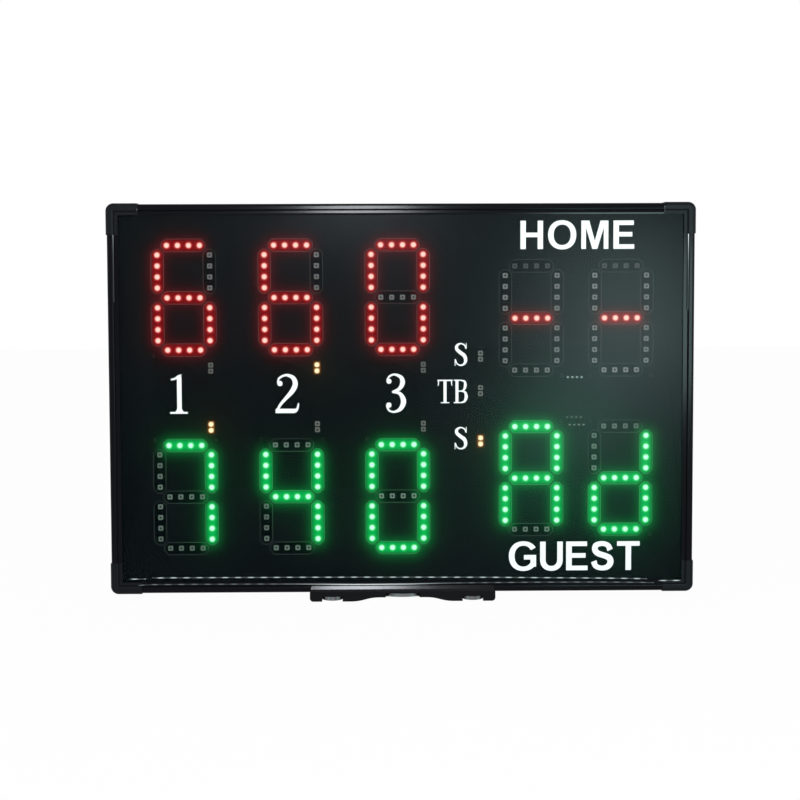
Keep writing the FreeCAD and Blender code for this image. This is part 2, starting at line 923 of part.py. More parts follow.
serve_low = SERVE_ROWS[2] - s.serve_pcb_end
serve_high = SERVE_ROWS[0] + s.serve_pcb_end
all_holes = []
for name, column, row, tab in DIGITS:
    low = row - s.pcb_half_height - (s.pcb_tab if tab < 0 else 0)
    high = row + s.pcb_half_height + (s.pcb_tab if tab > 0 else 0)
    holes = board_holes(column, row)
    all_holes.extend(holes)
    add_plate(name + "_board",
              box_path(column - s.pcb_width / 2, column + s.pcb_width / 2, low, high),
              pcb_back, s.pcb_thickness, holes=[(holes, s.board_screw_radius)])
add_plate("serve_board",
          box_path(serve_column - s.serve_pcb_width / 2, serve_column + s.serve_pcb_width / 2,
                   serve_low, serve_high),
          pcb_back, s.pcb_thickness, holes=[(serve_holes(), s.board_screw_radius)])
all_holes.extend(serve_holes())
spacers = []
board_screws = []
for x, z in all_holes:
    ring = rod(s.spacer_radius, x, z, mask_back, pcb_front)
    spacers.append(ring.cut(rod(s.board_screw_radius, x, z, mask_back, pcb_front)))
    board_screws.append(screw_from_back(x, z, pcb_back, mask_back, s.board_screw_radius,
                                        s.board_screw_head_radius, s.board_screw_head))
new_shape("board_spacers", Part.makeCompound(spacers))


# Ribbon links: a plug on each board and flat ribbons from plug to plug
serve_plug_row = (SERVE_ROWS[0] + SERVE_ROWS[1]) / 2
control_column = first_column + set_pitch + s.control_reach
plug_spots = {name: (column, row + s.plug_rise) for name, column, row, tab in DIGITS}


def plug(x, z, front, back):
    across = s.plug_width / 2
    up = s.plug_height / 2
    return box(x - across, x + across, front, back, z - up, z + up)


control_plugs = {
    "home": (plug_spots["home_set_2"][0], middle + s.control_height / 4),
    "guest": (plug_spots["guest_set_2"][0], middle - s.control_height / 4),
}
board_plugs = [plug(x, z, pcb_back, ribbon_front) for x, z in plug_spots.values()]
board_plugs.append(plug(serve_column, serve_plug_row, pcb_back, ribbon_front))
new_shape("board_plugs", Part.makeCompound(board_plugs))


def level_ribbon(start, end):
    half = s.plug_height / 2
    return box(start[0], end[0], ribbon_front, ribbon_back, start[1] - half, start[1] + half)


def upright_ribbon(x, low, high):
    half = s.ribbon_width / 2
    return box(x - half, x + half, ribbon_front, ribbon_back, low, high)


def game_ribbon(team):
    start = plug_spots[team + "_set_3"]
    end = plug_spots[team + "_game_left"]
    half = s.plug_height / 2
    first = box(start[0], serve_column + half, ribbon_front, ribbon_back, start[1] - half, start[1] + half)
    low, high = sorted((start[1], end[1]), key=float)
    turn = box(serve_column - half, serve_column + half, ribbon_front, ribbon_back, low - half, high + half)
    last = box(serve_column - half, end[0], ribbon_front, ribbon_back, end[1] - half, end[1] + half)
    return first.fuse(turn).fuse(last).removeSplitter()


ribbons = []
for team, side in (("home", 1), ("guest", -1)):
    first, second, third = (plug_spots[team + "_set_" + str(count)] for count in (1, 2, 3))
    row = level_ribbon(first, third)
    feed = control_plugs[team]
    low, high = sorted((feed[1], second[1]), key=float)
    feed_ribbon = upright_ribbon(second[0], low, high)
    pair = level_ribbon(plug_spots[team + "_game_left"], plug_spots[team + "_game_right"])
    whole = row.fuse(feed_ribbon).fuse(game_ribbon(team)).fuse(pair)
    if team == "home":
        whole = whole.fuse(upright_ribbon(serve_column, serve_plug_row, plug_spots["home_game_left"][1]))
    ribbons.append(whole.removeSplitter())
new_shape("ribbon_cables", Part.makeCompound(ribbons))


# Control board on stand-offs from the rear panel, with its parts
control_left = control_column - s.control_width / 2
control_right = control_column + s.control_width / 2
control_low = middle - s.control_height / 2
control_high = middle + s.control_height / 2
control_corners = [(control_column + (s.control_width / 2 - s.pcb_hole_edge) * a,
                    middle + (s.control_height / 2 - s.pcb_hole_edge) * b)
                   for a in (-1, 1) for b in (-1, 1)]
add_plate("control_board", box_path(control_left, control_right, control_low, control_high),
          control_back, s.pcb_thickness, holes=[(control_corners, s.board_screw_radius)])


def make_control_parts():
    parts = [plug(x, z, ribbon_back, control_front) for x, z in control_plugs.values()]
    half = s.chip_size / 2
    parts.append(box(control_column - half, control_column + half,
                     control_front - s.chip_height, control_front, middle - half, middle + half))
    for side in (-1, 1):
        z = middle + side * (s.driver_width + s.capacitor_radius / 2)
        for count in (1, 2):
            x = control_column - s.chip_pitch * count + s.driver_width / 2
            parts.append(box(x - s.driver_width / 2, x + s.driver_width / 2,
                             control_front - s.driver_height, control_front,
                             z - s.driver_width, z + s.driver_width))
        parts.append(rod(s.capacitor_radius, control_column + s.chip_pitch,
                         middle + side * s.capacitor_radius * 2,
                         control_front - s.capacitor_height, control_front))
    reach = s.lead_pitch + s.lead_radius * 3
    parts.append(box(control_right - s.plug_height, control_right, control_back,
                     panel_front - s.lead_gap, middle - reach, middle + reach))
    return Part.makeCompound(parts)


new_shape("control_parts", make_control_parts())
stand_offs = []
for x, z in control_corners:
    tube = rod(s.spacer_radius, x, z, control_back, panel_front)
    stand_offs.append(tube.cut(rod(s.board_screw_radius, x, z, control_back, panel_front)))
    shank = rod(s.board_screw_radius, x, z, control_front, panel_front)
    head = rod(s.board_screw_head_radius, x, z, control_front - s.board_screw_head, control_front)
    board_screws.append(shank.fuse(head).removeSplitter())
new_shape("control_stand_offs", Part.makeCompound(stand_offs))
new_shape("board_screws", Part.makeCompound(board_screws))


# Radio receiver on the control board, and its aerial along the rear panel
receiver_right = control_right - s.pcb_hole_edge * 2


def make_receiver():
    right = receiver_right
    left = right - s.receiver_width
    low = middle - s.receiver_height / 2
    high = middle + s.receiver_height / 2
    board_back = control_front - s.receiver_pin
    card = box(left, right, board_back - s.receiver_thickness, board_back, low, high)
    can = box(left + s.receiver_pin, right - s.receiver_pin,
              board_back - s.receiver_thickness - s.receiver_can, board_back - s.receiver_thickness,
              middle - s.receiver_height / 4, middle + s.receiver_height / 4)
    pins = box(left, left + s.receiver_pin, board_back, control_front,
               middle - s.receiver_height / 3, middle + s.receiver_height / 3)
    return card.fuse(can).fuse(pins).removeSplitter()


def make_aerial():
    z = float(middle + s.receiver_height / 3)
    high = float(control_front - s.receiver_pin - s.receiver_thickness / 2)
    low = float(panel_front - s.antenna_radius)
    bend = (low - high) / 2
    start = point(receiver_right, high, z)
    drop = point(control_right + s.lead_gap, high, z)
    turn = drop + point(bend, bend)
    foot = turn + point(bend, bend)
    end = foot + point(s.antenna_length, 0)
    slant = math.sqrt(0.5) * bend
    path = Part.Wire([
        Part.makeLine(start, drop),
        Part.Arc(drop, drop + point(slant, bend - slant), turn).toShape(),
        Part.Arc(turn, foot - point(slant, bend - slant), foot).toShape(),
        Part.makeLine(foot, end),
    ])
    ring = Part.Wire([Part.Circle(start, point(1, 0), float(s.antenna_radius)).toShape()])
    return path.makePipeShell([ring], True, False)


new_shape("receiver_module", make_receiver())
new_shape("receiver_aerial", make_aerial())


# Battery: four cells in a cradle behind the hatch of the rear panel
hatch_half_width = bay_half_width + s.hatch_lap_side
hatch_half_height = bay_half_height + s.hatch_lap / 2
rear_row = half_width - control_right
free_rear_row = rear_row - s.jack_nut_radius * 2 - s.switch_bezel_width - hatch_half_width * 2
jack_x = control_right + free_rear_row * socket_gap_share + s.jack_nut_radius
switch_x = jack_x + s.jack_nut_radius + free_rear_row * switch_gap_share + s.switch_bezel_width / 2
battery_x = switch_x + s.switch_bezel_width / 2 + free_rear_row * hatch_gap_share + hatch_half_width
switch_z = middle - half_height + s.switch_rise
cell_depth = mask_back + s.cradle_seat + s.cradle_floor + s.cell_radius


def make_cradle():
    floor_front = mask_back + s.cradle_seat
    shell = box(battery_x - bay_half_width - s.cradle_wall, battery_x + bay_half_width + s.cradle_wall,
                floor_front, panel_front,
                battery_z - bay_half_height - s.cradle_wall, battery_z + bay_half_height + s.cradle_wall)
    bay = box(battery_x - bay_half_width, battery_x + bay_half_width,
              floor_front + s.cradle_floor, panel_front + s.overrun,
              battery_z - bay_half_height, battery_z + bay_half_height)
    return shell.cut(bay)


def make_cells():
    cells = []
    for column in (-1, 1):
        for row in (-1, 1):
            reach = s.contact_thickness + (s.cell_length + s.cell_gap) / 2
            spot = point(battery_x + column * reach - s.cell_length / 2, cell_depth,
                         battery_z + row * (s.cell_radius + s.cell_gap / 2))
            cells.append(Part.makeCylinder(float(s.cell_radius), float(s.cell_length), spot, point(1, 0)))
    return Part.makeCompound(cells)


def make_contacts():
    contacts = []
    half = s.contact_width / 2
    thick = s.contact_thickness
    for row in (-1, 1):
        z = battery_z + row * (s.cell_radius + s.cell_gap / 2)
        for side in (-1, 1):
            edge = battery_x + side * bay_half_width
            left, right = sorted((edge, edge - side * thick), key=float)
            contacts.append(box(left, right, cell_depth - half, cell_depth + half, z - half, z + half))
        contacts.append(box(battery_x - thick, battery_x + thick,
                            cell_depth - half, cell_depth + half, z - half, z + half))
    return Part.makeCompound(contacts)


new_shape("battery_cradle", make_cradle())
new_shape("battery_cells", make_cells())
new_shape("battery_contacts", make_contacts())


# Rear panel with its openings
hatch_screw_places = [(battery_x + (bay_half_width + s.hatch_lap_side / 2) * side, battery_z)
                      for side in (-1, 1)]
hanger_screw_row = hanger_screw_places(-1) + hanger_screw_places(1)
panel_screw_row = []
for side in (-1, 1):
    panel_screw_row.extend(panel_screw_places(side, True))
    panel_screw_row.extend(panel_screw_places(side, False))


add_plate(
    "rear_panel", glass_path(glass_inset, glass_round), panel_back, s.panel_thickness,
    holes=[(panel_screw_row + hanger_screw_row + hatch_screw_places, s.panel_screw_radius),
           ([(jack_x, switch_z)], s.jack_radius)],
    inner=[box_path(battery_x - bay_half_width, battery_x + bay_half_width,
                    battery_z - bay_half_height, battery_z + bay_half_height),
           box_path(switch_x - s.switch_body_width / 2, switch_x + s.switch_body_width / 2,
                    switch_z - s.switch_body_height / 2, switch_z + s.switch_body_height / 2)])
add_plate(
    "battery_hatch",
    box_path(battery_x - hatch_half_width, battery_x + hatch_half_width,
             battery_z - hatch_half_height, battery_z + hatch_half_height),
    panel_back + s.hatch_thickness, s.hatch_thickness,
    holes=[(hatch_screw_places, s.panel_screw_radius)])


def panel_screws(places, seat, tip):
    radius = s.panel_screw_radius
    head_radius = s.panel_screw_head_radius
    return [screw_from_back(x, z, seat, tip, radius, head_radius, s.panel_screw_head) for x, z in places]


hatch_back = panel_back + s.hatch_thickness
hatch_screws = panel_screws(hatch_screw_places, hatch_back, panel_front - s.screw_overrun)
new_shape("hatch_screws", Part.makeCompound(hatch_screws))


# Wall hangers: bridged steel strips along the top, hung on screws or hooks
def make_hanger(label, side):
    body = new_body(label)
    x = (half_width - s.hanger_margin) * side
    half = s.hanger_length / 2
    bridge = s.hanger_bridge / 2
    ramp = s.hanger_rise
    thick = s.hanger_thickness
    high = middle + half_height - s.cap_skin - s.hanger_drop
    drawing = new_sketch(body, "XY_Plane", high - s.hanger_height)
    draw(drawing, [
        (x - half, panel_back), (x - bridge, panel_back),
        (x - bridge + ramp, panel_back + s.hanger_rise), (x + bridge - ramp, panel_back + s.hanger_rise),
        (x + bridge, panel_back), (x + half, panel_back),
        (x + half, panel_back + thick), (x + bridge, panel_back + thick),
        (x + bridge - ramp, panel_back + s.hanger_rise + thick),
        (x - bridge + ramp, panel_back + s.hanger_rise + thick),
        (x - bridge, panel_back + thick), (x - half, panel_back + thick),
    ])
    add_pad(body, drawing, s.hanger_height)
    drawing = new_sketch(body, "XZ_Plane", -panel_back)
    draw_circles(drawing, [(x, high - s.hanger_height / 2)], s.hanger_hole_radius)
    draw_circles(drawing, hanger_screw_places(side), s.panel_screw_radius)
    add_pocket(body, drawing)


make_hanger("wall_hanger_left", -1)
make_hanger("wall_hanger_right", 1)
rear_screws = panel_screws(panel_screw_row, panel_back, ledge_front)
rear_screws.extend(panel_screws(hanger_screw_row, panel_back + s.hanger_thickness, ledge_front))
new_shape("rear_panel_screws", Part.makeCompound(rear_screws))


# Power switch: a snap-in housing with a rocker on two trunnions
pivot_depth = panel_back + s.switch_bezel - s.rocker_sink
rocker_half = s.rocker_width / 2
well_half = rocker_half + s.rocker_gap


def switch_box(half_across, half_up, front, back):
    return box(switch_x - half_across, switch_x + half_across, front, back,
               switch_z - half_up, switch_z + half_up)


def make_switch_housing():
    bezel = switch_box(s.switch_bezel_width / 2, s.switch_bezel_height / 2,
                       panel_back, panel_back + s.switch_bezel)
    body_front = panel_back - s.switch_body_depth
    barrel = switch_box(s.switch_body_width / 2, s.switch_body_height / 2, body_front, panel_back)
    housing = bezel.fuse(barrel)
    well = switch_box(well_half, s.rocker_radius + s.rocker_gap, panel_back - s.switch_well,
                      panel_back + s.switch_bezel + s.overrun)
    housing = housing.cut(well)
    hole = Part.makeCylinder(float(s.pivot_radius + s.pivot_play), float(s.switch_body_width),
                             point(switch_x - s.switch_body_width / 2, pivot_depth, switch_z),
                             point(1, 0))
    housing = housing.cut(hole)
    for side in (-1, 0, 1):
        z = switch_z + side * s.switch_body_height / 3
        blade = box(switch_x - s.terminal_width / 2, switch_x + s.terminal_width / 2,
                    body_front - s.terminal_length, body_front,
                    z - s.terminal_thickness / 2, z + s.terminal_thickness / 2)
        housing = housing.fuse(blade)
    return housing.removeSplitter()


def make_rocker():
    barrel = Part.makeCylinder(float(s.rocker_radius), float(s.rocker_width),
                               point(switch_x - rocker_half, pivot_depth, switch_z), point(1, 0))
    top = s.rocker_crest + s.rocker_dip
    left = switch_x - rocker_half
    stops = [(-s.rocker_root, -s.rocker_radius), (top, -s.rocker_radius), (s.rocker_crest, ZERO),
             (top, s.rocker_radius), (-s.rocker_root, s.rocker_radius)]
    spots = [point(left, pivot_depth + out, switch_z + up) for out, up in stops]
    prism = Part.Face(Part.makePolygon(spots + spots[:1])).extrude(point(s.rocker_width, 0))
    rocker = barrel.common(prism)
    pins = Part.makeCylinder(float(s.pivot_radius), float((well_half + s.pivot_reach) * 2),
                             point(switch_x - well_half - s.pivot_reach, pivot_depth, switch_z),
                             point(1, 0))
    rocker = rocker.fuse(pins).removeSplitter()
    tilt = math.degrees(math.atan2(s.rocker_dip, s.rocker_radius))
    rocker.rotate(point(switch_x, pivot_depth, switch_z), point(1, 0), tilt)
    print("rocker tilt", round(tilt, 3), "pivot", round(float(pivot_depth), 3), round(float(switch_z), 3))
    return rocker


new_shape("switch_housing", make_switch_housing())
new_shape("switch_rocker", make_rocker())


# Charging socket with its nut, behind the panel
def make_jack():
    flange = rod(s.jack_flange_radius, jack_x, switch_z, panel_back, panel_back + s.jack_flange)
    mouth = panel_back + s.jack_flange
    barrel = rod(s.jack_radius, jack_x, switch_z, mouth - s.jack_depth, panel_back)
    bore = rod(s.jack_bore_radius, jack_x, switch_z, mouth - s.jack_bore_depth, mouth)
    pin = rod(s.jack_pin_radius, jack_x, switch_z, mouth - s.jack_bore_depth, panel_back)
    return flange.fuse(barrel).cut(bore).fuse(pin).removeSplitter()


def make_jack_nut():
    spots = []
    for count in range(6):
        angle = math.radians(60 * count)
        spots.append(point(jack_x + s.jack_nut_radius * math.cos(angle), panel_front - s.jack_nut,
                           switch_z + s.jack_nut_radius * math.sin(angle)))
    nut = Part.Face(Part.makePolygon(spots + spots[:1])).extrude(point(0, s.jack_nut))
    return nut.cut(rod(s.jack_radius, jack_x, switch_z, panel_front - s.jack_nut, panel_front))


new_shape("charging_socket", make_jack())
new_shape("charging_socket_nut", make_jack_nut())


# Leads inside: each rises from its piece and turns once to the control board
def make_lead(column, low, row):
    depth = control_back + s.lead_gap + s.lead_radius
    a = point(column, depth, low)
    b = point(column, depth, row)
    c = point(control_right, depth, row)
    bend = float(s.lead_bend)
    first = b - point(0, 0, bend)
    last = b - point(bend, 0)
    centre = b - point(bend, 0, bend)
    mid = centre + (b - centre).normalize() * bend
    arc = Part.Arc(first, mid, last).toShape()
    path = Part.Wire([Part.makeLine(a, first), arc, Part.makeLine(last, c)])
    ring = Part.Wire([Part.Circle(a, point(0, 0, 1), float(s.lead_radius)).toShape()])
    return path.makePipeShell([ring], True, False)


new_shape("inner_leads", Part.makeCompound([
    make_lead(jack_x, switch_z + s.jack_radius, middle - s.lead_pitch),
    make_lead(switch_x, switch_z + s.switch_body_height / 2, middle),
    make_lead(battery_x - bay_half_width + s.cell_radius,
              battery_z + bay_half_height + s.cradle_wall, middle + s.lead_pitch),
]))


# Clamp bracket: a channel that hooks over the bottom rail, arched underneath
bracket_front = rail_front - s.bracket_wall
bracket_back = rail_back + s.bracket_wall


arch_foot = s.bracket_length / 2 - s.lobe_width
wheel_place = s.bracket_length / 2 - s.wheel_margin


def arch_path():
    run = (arch_foot - s.arch_crown) / 2
    rise = s.arch_rise / 2
    sweep = (run * run + rise * rise) / (rise * 2)
    return [
        (-arch_foot, -s.overrun), (arch_foot, -s.overrun), (arch_foot, ZERO),
        (arch_foot - run, rise, arch_foot, sweep),
        (s.arch_crown, s.arch_rise, s.arch_crown, s.arch_rise - sweep),
        (-s.arch_crown, s.arch_rise),
        (run - arch_foot, rise, -s.arch_crown, s.arch_rise - sweep),
        (-arch_foot, ZERO, -arch_foot, sweep),
    ]


def wheel_pocket_path(x, y, radius):
    open_front = bracket_front - s.overrun
    return [(x - radius, open_front), (x + radius, open_front), (x + radius, y),
            (x, y + radius, x, y), (x - radius, y, x, y)]


clamp_wheel_y = bracket_front + s.clamp_wheel_radius
tripod_y = bracket_front + s.tripod_wheel_radius
clamp_wheel_top = s.clamp_wheel_lift + s.clamp_wheel_height
clamp_pocket_top = clamp_wheel_top + s.wheel_top_gap
pad_bottom = rail_bottom - s.pad_thickness
pad_floor = pad_bottom - s.pad_travel - s.pad_floor_gap
tripod_low = s.arch_rise + s.wheel_top_gap
tripod_high = tripod_low + s.tripod_wheel_height
retainer_low = s.arch_rise - s.retainer_thickness
retainer_screws_y = bracket_back - s.retainer_screw_inset
RETAINER_SCREWS = [(s.retainer_screw_place * side, retainer_screws_y) for side in (-1, 1)]


def make_bracket():
    body = new_body("stand_bracket")
    hook_top = bracket_front + s.hook_lean
    hook_high = rail_bottom + s.bead_width + s.hook_thickness
    rear_hook_low = rail_bottom + s.rail_wall
    rear_hook_high = rear_hook_low + s.rear_hook_thickness
    rear_hook_tip = panel_back + s.panel_screw_head + s.hook_gap
    drawing = new_sketch(body, "YZ_Plane")
    draw(drawing, [
        (bracket_front, ZERO), (bracket_back, ZERO), (bracket_back, rear_hook_high),
        (rear_hook_tip, rear_hook_high), (rear_hook_tip, rear_hook_low), (rail_back, rear_hook_low),
        (rail_back, rail_bottom), (rail_front, rail_bottom),
        (rail_front, rail_bottom + s.bead_width), (lip_front - s.hook_gap, rail_bottom + s.bead_width),
        (lip_front - s.hook_gap, hook_high), (hook_top + s.hook_round, hook_high),
        (hook_top, hook_high - s.hook_round, hook_top + s.hook_round, hook_high - s.hook_round),
        (bracket_front, rail_bottom + s.hook_foot),
    ])
    add_pad(body, drawing, s.bracket_length, symmetric=True)
    drawing = new_sketch(body, "XZ_Plane")
    draw(drawing, arch_path())
    add_pocket(body, drawing)
    end = s.bracket_length / 2
    drawing = new_sketch(body, "XZ_Plane")
    for side in (-1, 1):
        outer = side * (end + s.overrun)
        draw(drawing, [
            (side * (end - s.end_round), -s.overrun), (outer, -s.overrun),
            (outer, s.end_round), (side * end, s.end_round),
            (side * (end - s.end_round), ZERO, side * (end - s.end_round), s.end_round)])
        draw(drawing, [
            (side * end, rail_bottom), (side * (end - s.end_slant), hook_high),
            (side * (end - s.end_slant), hook_high + s.overrun), (outer, hook_high + s.overrun),
            (outer, rail_bottom)])
    add_pocket(body, drawing)
    drawing = new_sketch(body, "XY_Plane", -s.overrun)
    for side in (-1, 1):
        draw(drawing, wheel_pocket_path(wheel_place * side, clamp_wheel_y,
                                        s.clamp_wheel_radius + s.wheel_gap))
    add_pocket(body, drawing, clamp_pocket_top + s.overrun, along_normal=True)
    drawing = new_sketch(body, "XY_Plane", -s.overrun)
    draw(drawing, wheel_pocket_path(ZERO, tripod_y, s.tripod_wheel_radius + s.wheel_gap))
    add_pocket(body, drawing, tripod_high + s.wheel_top_gap + s.overrun, along_normal=True)
    clamps = [(wheel_place * side, clamp_wheel_y) for side in (-1, 1)]
    drawing = new_sketch(body, "XY_Plane", rail_bottom)
    draw_circles(drawing, clamps, s.pad_radius + s.pad_gap)
    add_pocket(body, drawing, rail_bottom - pad_floor)
    drawing = new_sketch(body, "XY_Plane", rail_bottom)
    draw_circles(drawing, clamps, s.stud_radius + s.stud_play)
    draw_circles(drawing, [(ZERO, tripod_y)], s.tripod_thread_radius + s.tripod_stud_gap)
    add_pocket(body, drawing, rail_bottom)
    drawing = new_sketch(body, "XY_Plane", ZERO)
    draw_circles(drawing, RETAINER_SCREWS, s.retainer_screw_radius)
    add_pocket(body, drawing, s.arch_rise + s.retainer_screw_length, along_normal=True)


make_bracket()


# Knurled wheel: a toothed rim by formula, on a vertical axis
def knurled_disc(x, y, low, high, radius, count):
    spots = []
    for index in range(count * 2):
        angle = math.pi * index / count
        reach = radius - (s.knurl_depth if index % 2 else 0)
        spots.append(point(x + reach * math.cos(angle), y + reach * math.sin(angle), low))
    return Part.Face(Part.makePolygon(spots + spots[:1])).extrude(point(0, 0, high - low))


def make_clamp(name, side):
    x = wheel_place * side
    disc = knurled_disc(x, clamp_wheel_y, s.clamp_wheel_lift, clamp_wheel_top,
                        s.clamp_wheel_radius, KNURLS_PER_CLAMP_WHEEL)
    stud = post(s.stud_radius, x, clamp_wheel_y, clamp_wheel_top, pad_bottom)
    tip = post(s.stud_tip_radius, x, clamp_wheel_y, pad_bottom, pad_bottom + s.stud_tip)
    new_shape("clamp_screw_" + name, disc.fuse(stud).fuse(tip).removeSplitter())
    pad = post(s.pad_radius, x, clamp_wheel_y, pad_bottom, rail_bottom)
    socket = post(s.stud_tip_radius + s.stud_play, x, clamp_wheel_y, pad_bottom, pad_bottom + s.stud_tip)
    new_shape("clamp_pad_" + name, pad.cut(socket))


make_clamp("left", -1)
make_clamp("right", 1)


def make_tripod_nut():
    disc = knurled_disc(0, tripod_y, tripod_low, tripod_high,
                        s.tripod_wheel_radius, KNURLS_PER_TRIPOD_WHEEL)
    hub = post(s.tripod_hub_radius, 0, tripod_y, retainer_low, tripod_low)
    bore = post(s.tripod_thread_radius, 0, tripod_y, retainer_low, tripod_high)
    return disc.fuse(hub).removeSplitter().cut(bore)


new_shape("tripod_nut", make_tripod_nut())


def make_retainer():
    body = new_body("nut_retainer")
    drawing = new_sketch(body, "XY_Plane", retainer_low)
    draw(drawing, box_path(-s.arch_crown, s.arch_crown,
                           bracket_front + s.retainer_front, bracket_back - s.bracket_wall))
    draw_circles(drawing, [(ZERO, tripod_y)], s.tripod_hub_radius + s.wheel_top_gap)
    draw_circles(drawing, RETAINER_SCREWS, s.retainer_screw_radius)
    add_pad(body, drawing, s.retainer_thickness)


make_retainer()
retainer_screws = []
for x, y in RETAINER_SCREWS:
    shank = post(s.retainer_screw_radius, x, y, retainer_low, s.arch_rise + s.retainer_screw_length)
    head = post(s.retainer_screw_head_radius, x, y, retainer_low - s.retainer_thickness, retainer_low)
    retainer_screws.append(shank.fuse(head).removeSplitter())
new_shape("retainer_screws", Part.makeCompound(retainer_screws))

doc.recompute()

# Nothing is written unless every feature worked
faults = []
for item in doc.Objects:
    if "Invalid" in item.State or "Error" in item.State:
        faults.append(item.Name + " " + " ".join(item.State))
for piece in pieces:
    if piece.Shape.isNull() or not piece.Shape.isValid():
        faults.append(piece.Label + " has no valid shape")
for base, pocket in cuts:
    whole = not base.Shape.isNull() and not pocket.Shape.isNull()
    if not whole or not pocket.Shape.Volume < base.Shape.Volume:
        faults.append(pocket.Name + " cuts nothing")
if faults:
    raise RuntimeError("; ".join(faults))

os.makedirs("parts", exist_ok=True)
for piece in pieces:
    piece.Shape.exportStep("parts/" + piece.Label + ".step")
    count = len(piece.Shape.Solids)
    print(piece.Label, "solids", count, "volume", round(piece.Shape.Volume, 1))
print("pieces", len(pieces))
whole = Part.makeCompound([piece.Shape for piece in pieces]).optimalBoundingBox(False)
print("box", round(whole.XMin, 2), round(whole.YMin, 2), round(whole.ZMin, 2),
      round(whole.XMax, 2), round(whole.YMax, 2), round(whole.ZMax, 2))
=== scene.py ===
# %% [markdown]
# # An electronic scoreboard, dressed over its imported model
#
# The board is a slim black frame with a smoked window. Ten lamp digits and nine pairs of marker lamps sit
# behind the window, and white legends on it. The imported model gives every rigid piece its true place, so
# this lesson only adds what the eye needs: finishes, lit lamps and their glow, legends, floor and light.

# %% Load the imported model
import math

import bpy
import numpy as np
from mathutils import Matrix, Vector


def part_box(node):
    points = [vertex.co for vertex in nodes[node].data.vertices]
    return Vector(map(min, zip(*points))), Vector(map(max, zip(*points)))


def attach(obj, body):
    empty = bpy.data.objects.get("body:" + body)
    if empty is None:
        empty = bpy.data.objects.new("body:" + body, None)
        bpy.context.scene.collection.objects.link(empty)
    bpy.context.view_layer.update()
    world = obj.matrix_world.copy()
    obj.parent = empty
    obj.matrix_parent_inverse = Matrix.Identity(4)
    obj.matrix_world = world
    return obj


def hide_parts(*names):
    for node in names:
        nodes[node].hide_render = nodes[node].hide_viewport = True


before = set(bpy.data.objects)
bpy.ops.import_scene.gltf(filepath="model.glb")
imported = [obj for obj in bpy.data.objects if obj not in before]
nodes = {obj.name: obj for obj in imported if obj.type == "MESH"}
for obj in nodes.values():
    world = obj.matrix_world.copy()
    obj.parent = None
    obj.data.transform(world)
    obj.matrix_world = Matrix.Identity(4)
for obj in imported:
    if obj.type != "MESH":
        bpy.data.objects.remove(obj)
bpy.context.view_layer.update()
MM = 0.001

# %% [markdown]
# ## The camera comes first
#
# The photograph was taken from a little above the board's middle and a little left of it. The frame's
# four corners in the picture give the camera's place and turn: a turn about the upright axis, then a
# tilt, then a small roll, multiplied in that order. Every later piece is judged through this camera.

# %% Place the camera
FOCAL_PIXELS = 1600.0
IMAGE_PIXELS = 800.0
YAW, TILT, ROLL = (math.radians(angle) for angle in (-0.749, -3.731, 0.194))
eye = (-0.02339, -1.6508, 0.31383)

view = bpy.data.cameras.new("view")
view.sensor_width = 36.0
view.lens = view.sensor_width * FOCAL_PIXELS / IMAGE_PIXELS
view.clip_end = 50.0
camera = bpy.data.objects.new("camera", view)
bpy.context.scene.collection.objects.link(camera)
turn = Matrix.Rotation(YAW, 4, "Z") @ Matrix.Rotation(TILT, 4, "X") @ Matrix.Rotation(ROLL, 4, "Y")
camera.matrix_world = Matrix.Translation(eye) @ turn @ Matrix.Rotation(math.radians(90), 4, "X")
bpy.context.scene.camera = camera
print("lens", round(view.lens, 2), "mm on", view.sensor_width, "mm")

# %% [markdown]
# ## Shader maths as plain sums
#
# A finish is easier to read as a formula than as a web of nodes. A Wire is one value in a shader: adding
# or multiplying two wires adds the Math node that does it. A Shader is a tree of nodes with one method
# that adds any node, and a Finish is a material's tree, so all finishes below are short formulas.


# %% One value in a shader
class Wire:
    """A value in a shader. Sums, differences and products of wires add Math nodes to its tree."""

    def __init__(self, shader, socket):
        self.shader = shader
        self.socket = socket

    def maths(self, operation, *values):
        return self.shader.add("Math", {"operation": operation}, dict(enumerate(values)))

    def __add__(self, other):
        return self.maths("ADD", self, other)

    def __radd__(self, other):
        return self.maths("ADD", other, self)

    def __sub__(self, other):
        return self.maths("SUBTRACT", self, other)

    def __rmul__(self, other):
        return self.maths("MULTIPLY", other, self)

    def within(self, low, high):
        """The value held between two bounds."""
        return self.maths("MINIMUM", self.maths("MAXIMUM", self, low), high)


# %% One tree of nodes
class Shader:
    """A tree of shader nodes. add() takes a node's type, its settings and its socket values."""

    def __init__(self, tree):
        self.tree = tree

    def add(self, kind, settings=None, sockets=None, output=0):
        node = self.tree.nodes.new("ShaderNode" + kind)
        for setting, value in (settings or {}).items():
            setattr(node, setting, value)
        for socket, value in (sockets or {}).items():
            self.join(value, node.inputs[socket])
        return Wire(self, node.outputs[output])

    def join(self, value, socket):
        if isinstance(value, Wire):
            self.tree.links.new(value.socket, socket)
        elif hasattr(value, "__len__") and len(value) == 3 and len(socket.default_value) == 4:
            socket.default_value = (*value, 1.0)
        else:
            socket.default_value = value

    def seen(self):
        """1 for rays that are seen, directly, in a gloss or through glass, and 0 for other light."""
        direct, glossy, through = (self.add("LightPath", output="Is " + kind + " Ray")
                                   for kind in ("Camera", "Glossy", "Transmission"))
        return (direct + glossy + through).within(0.0, 1.0)


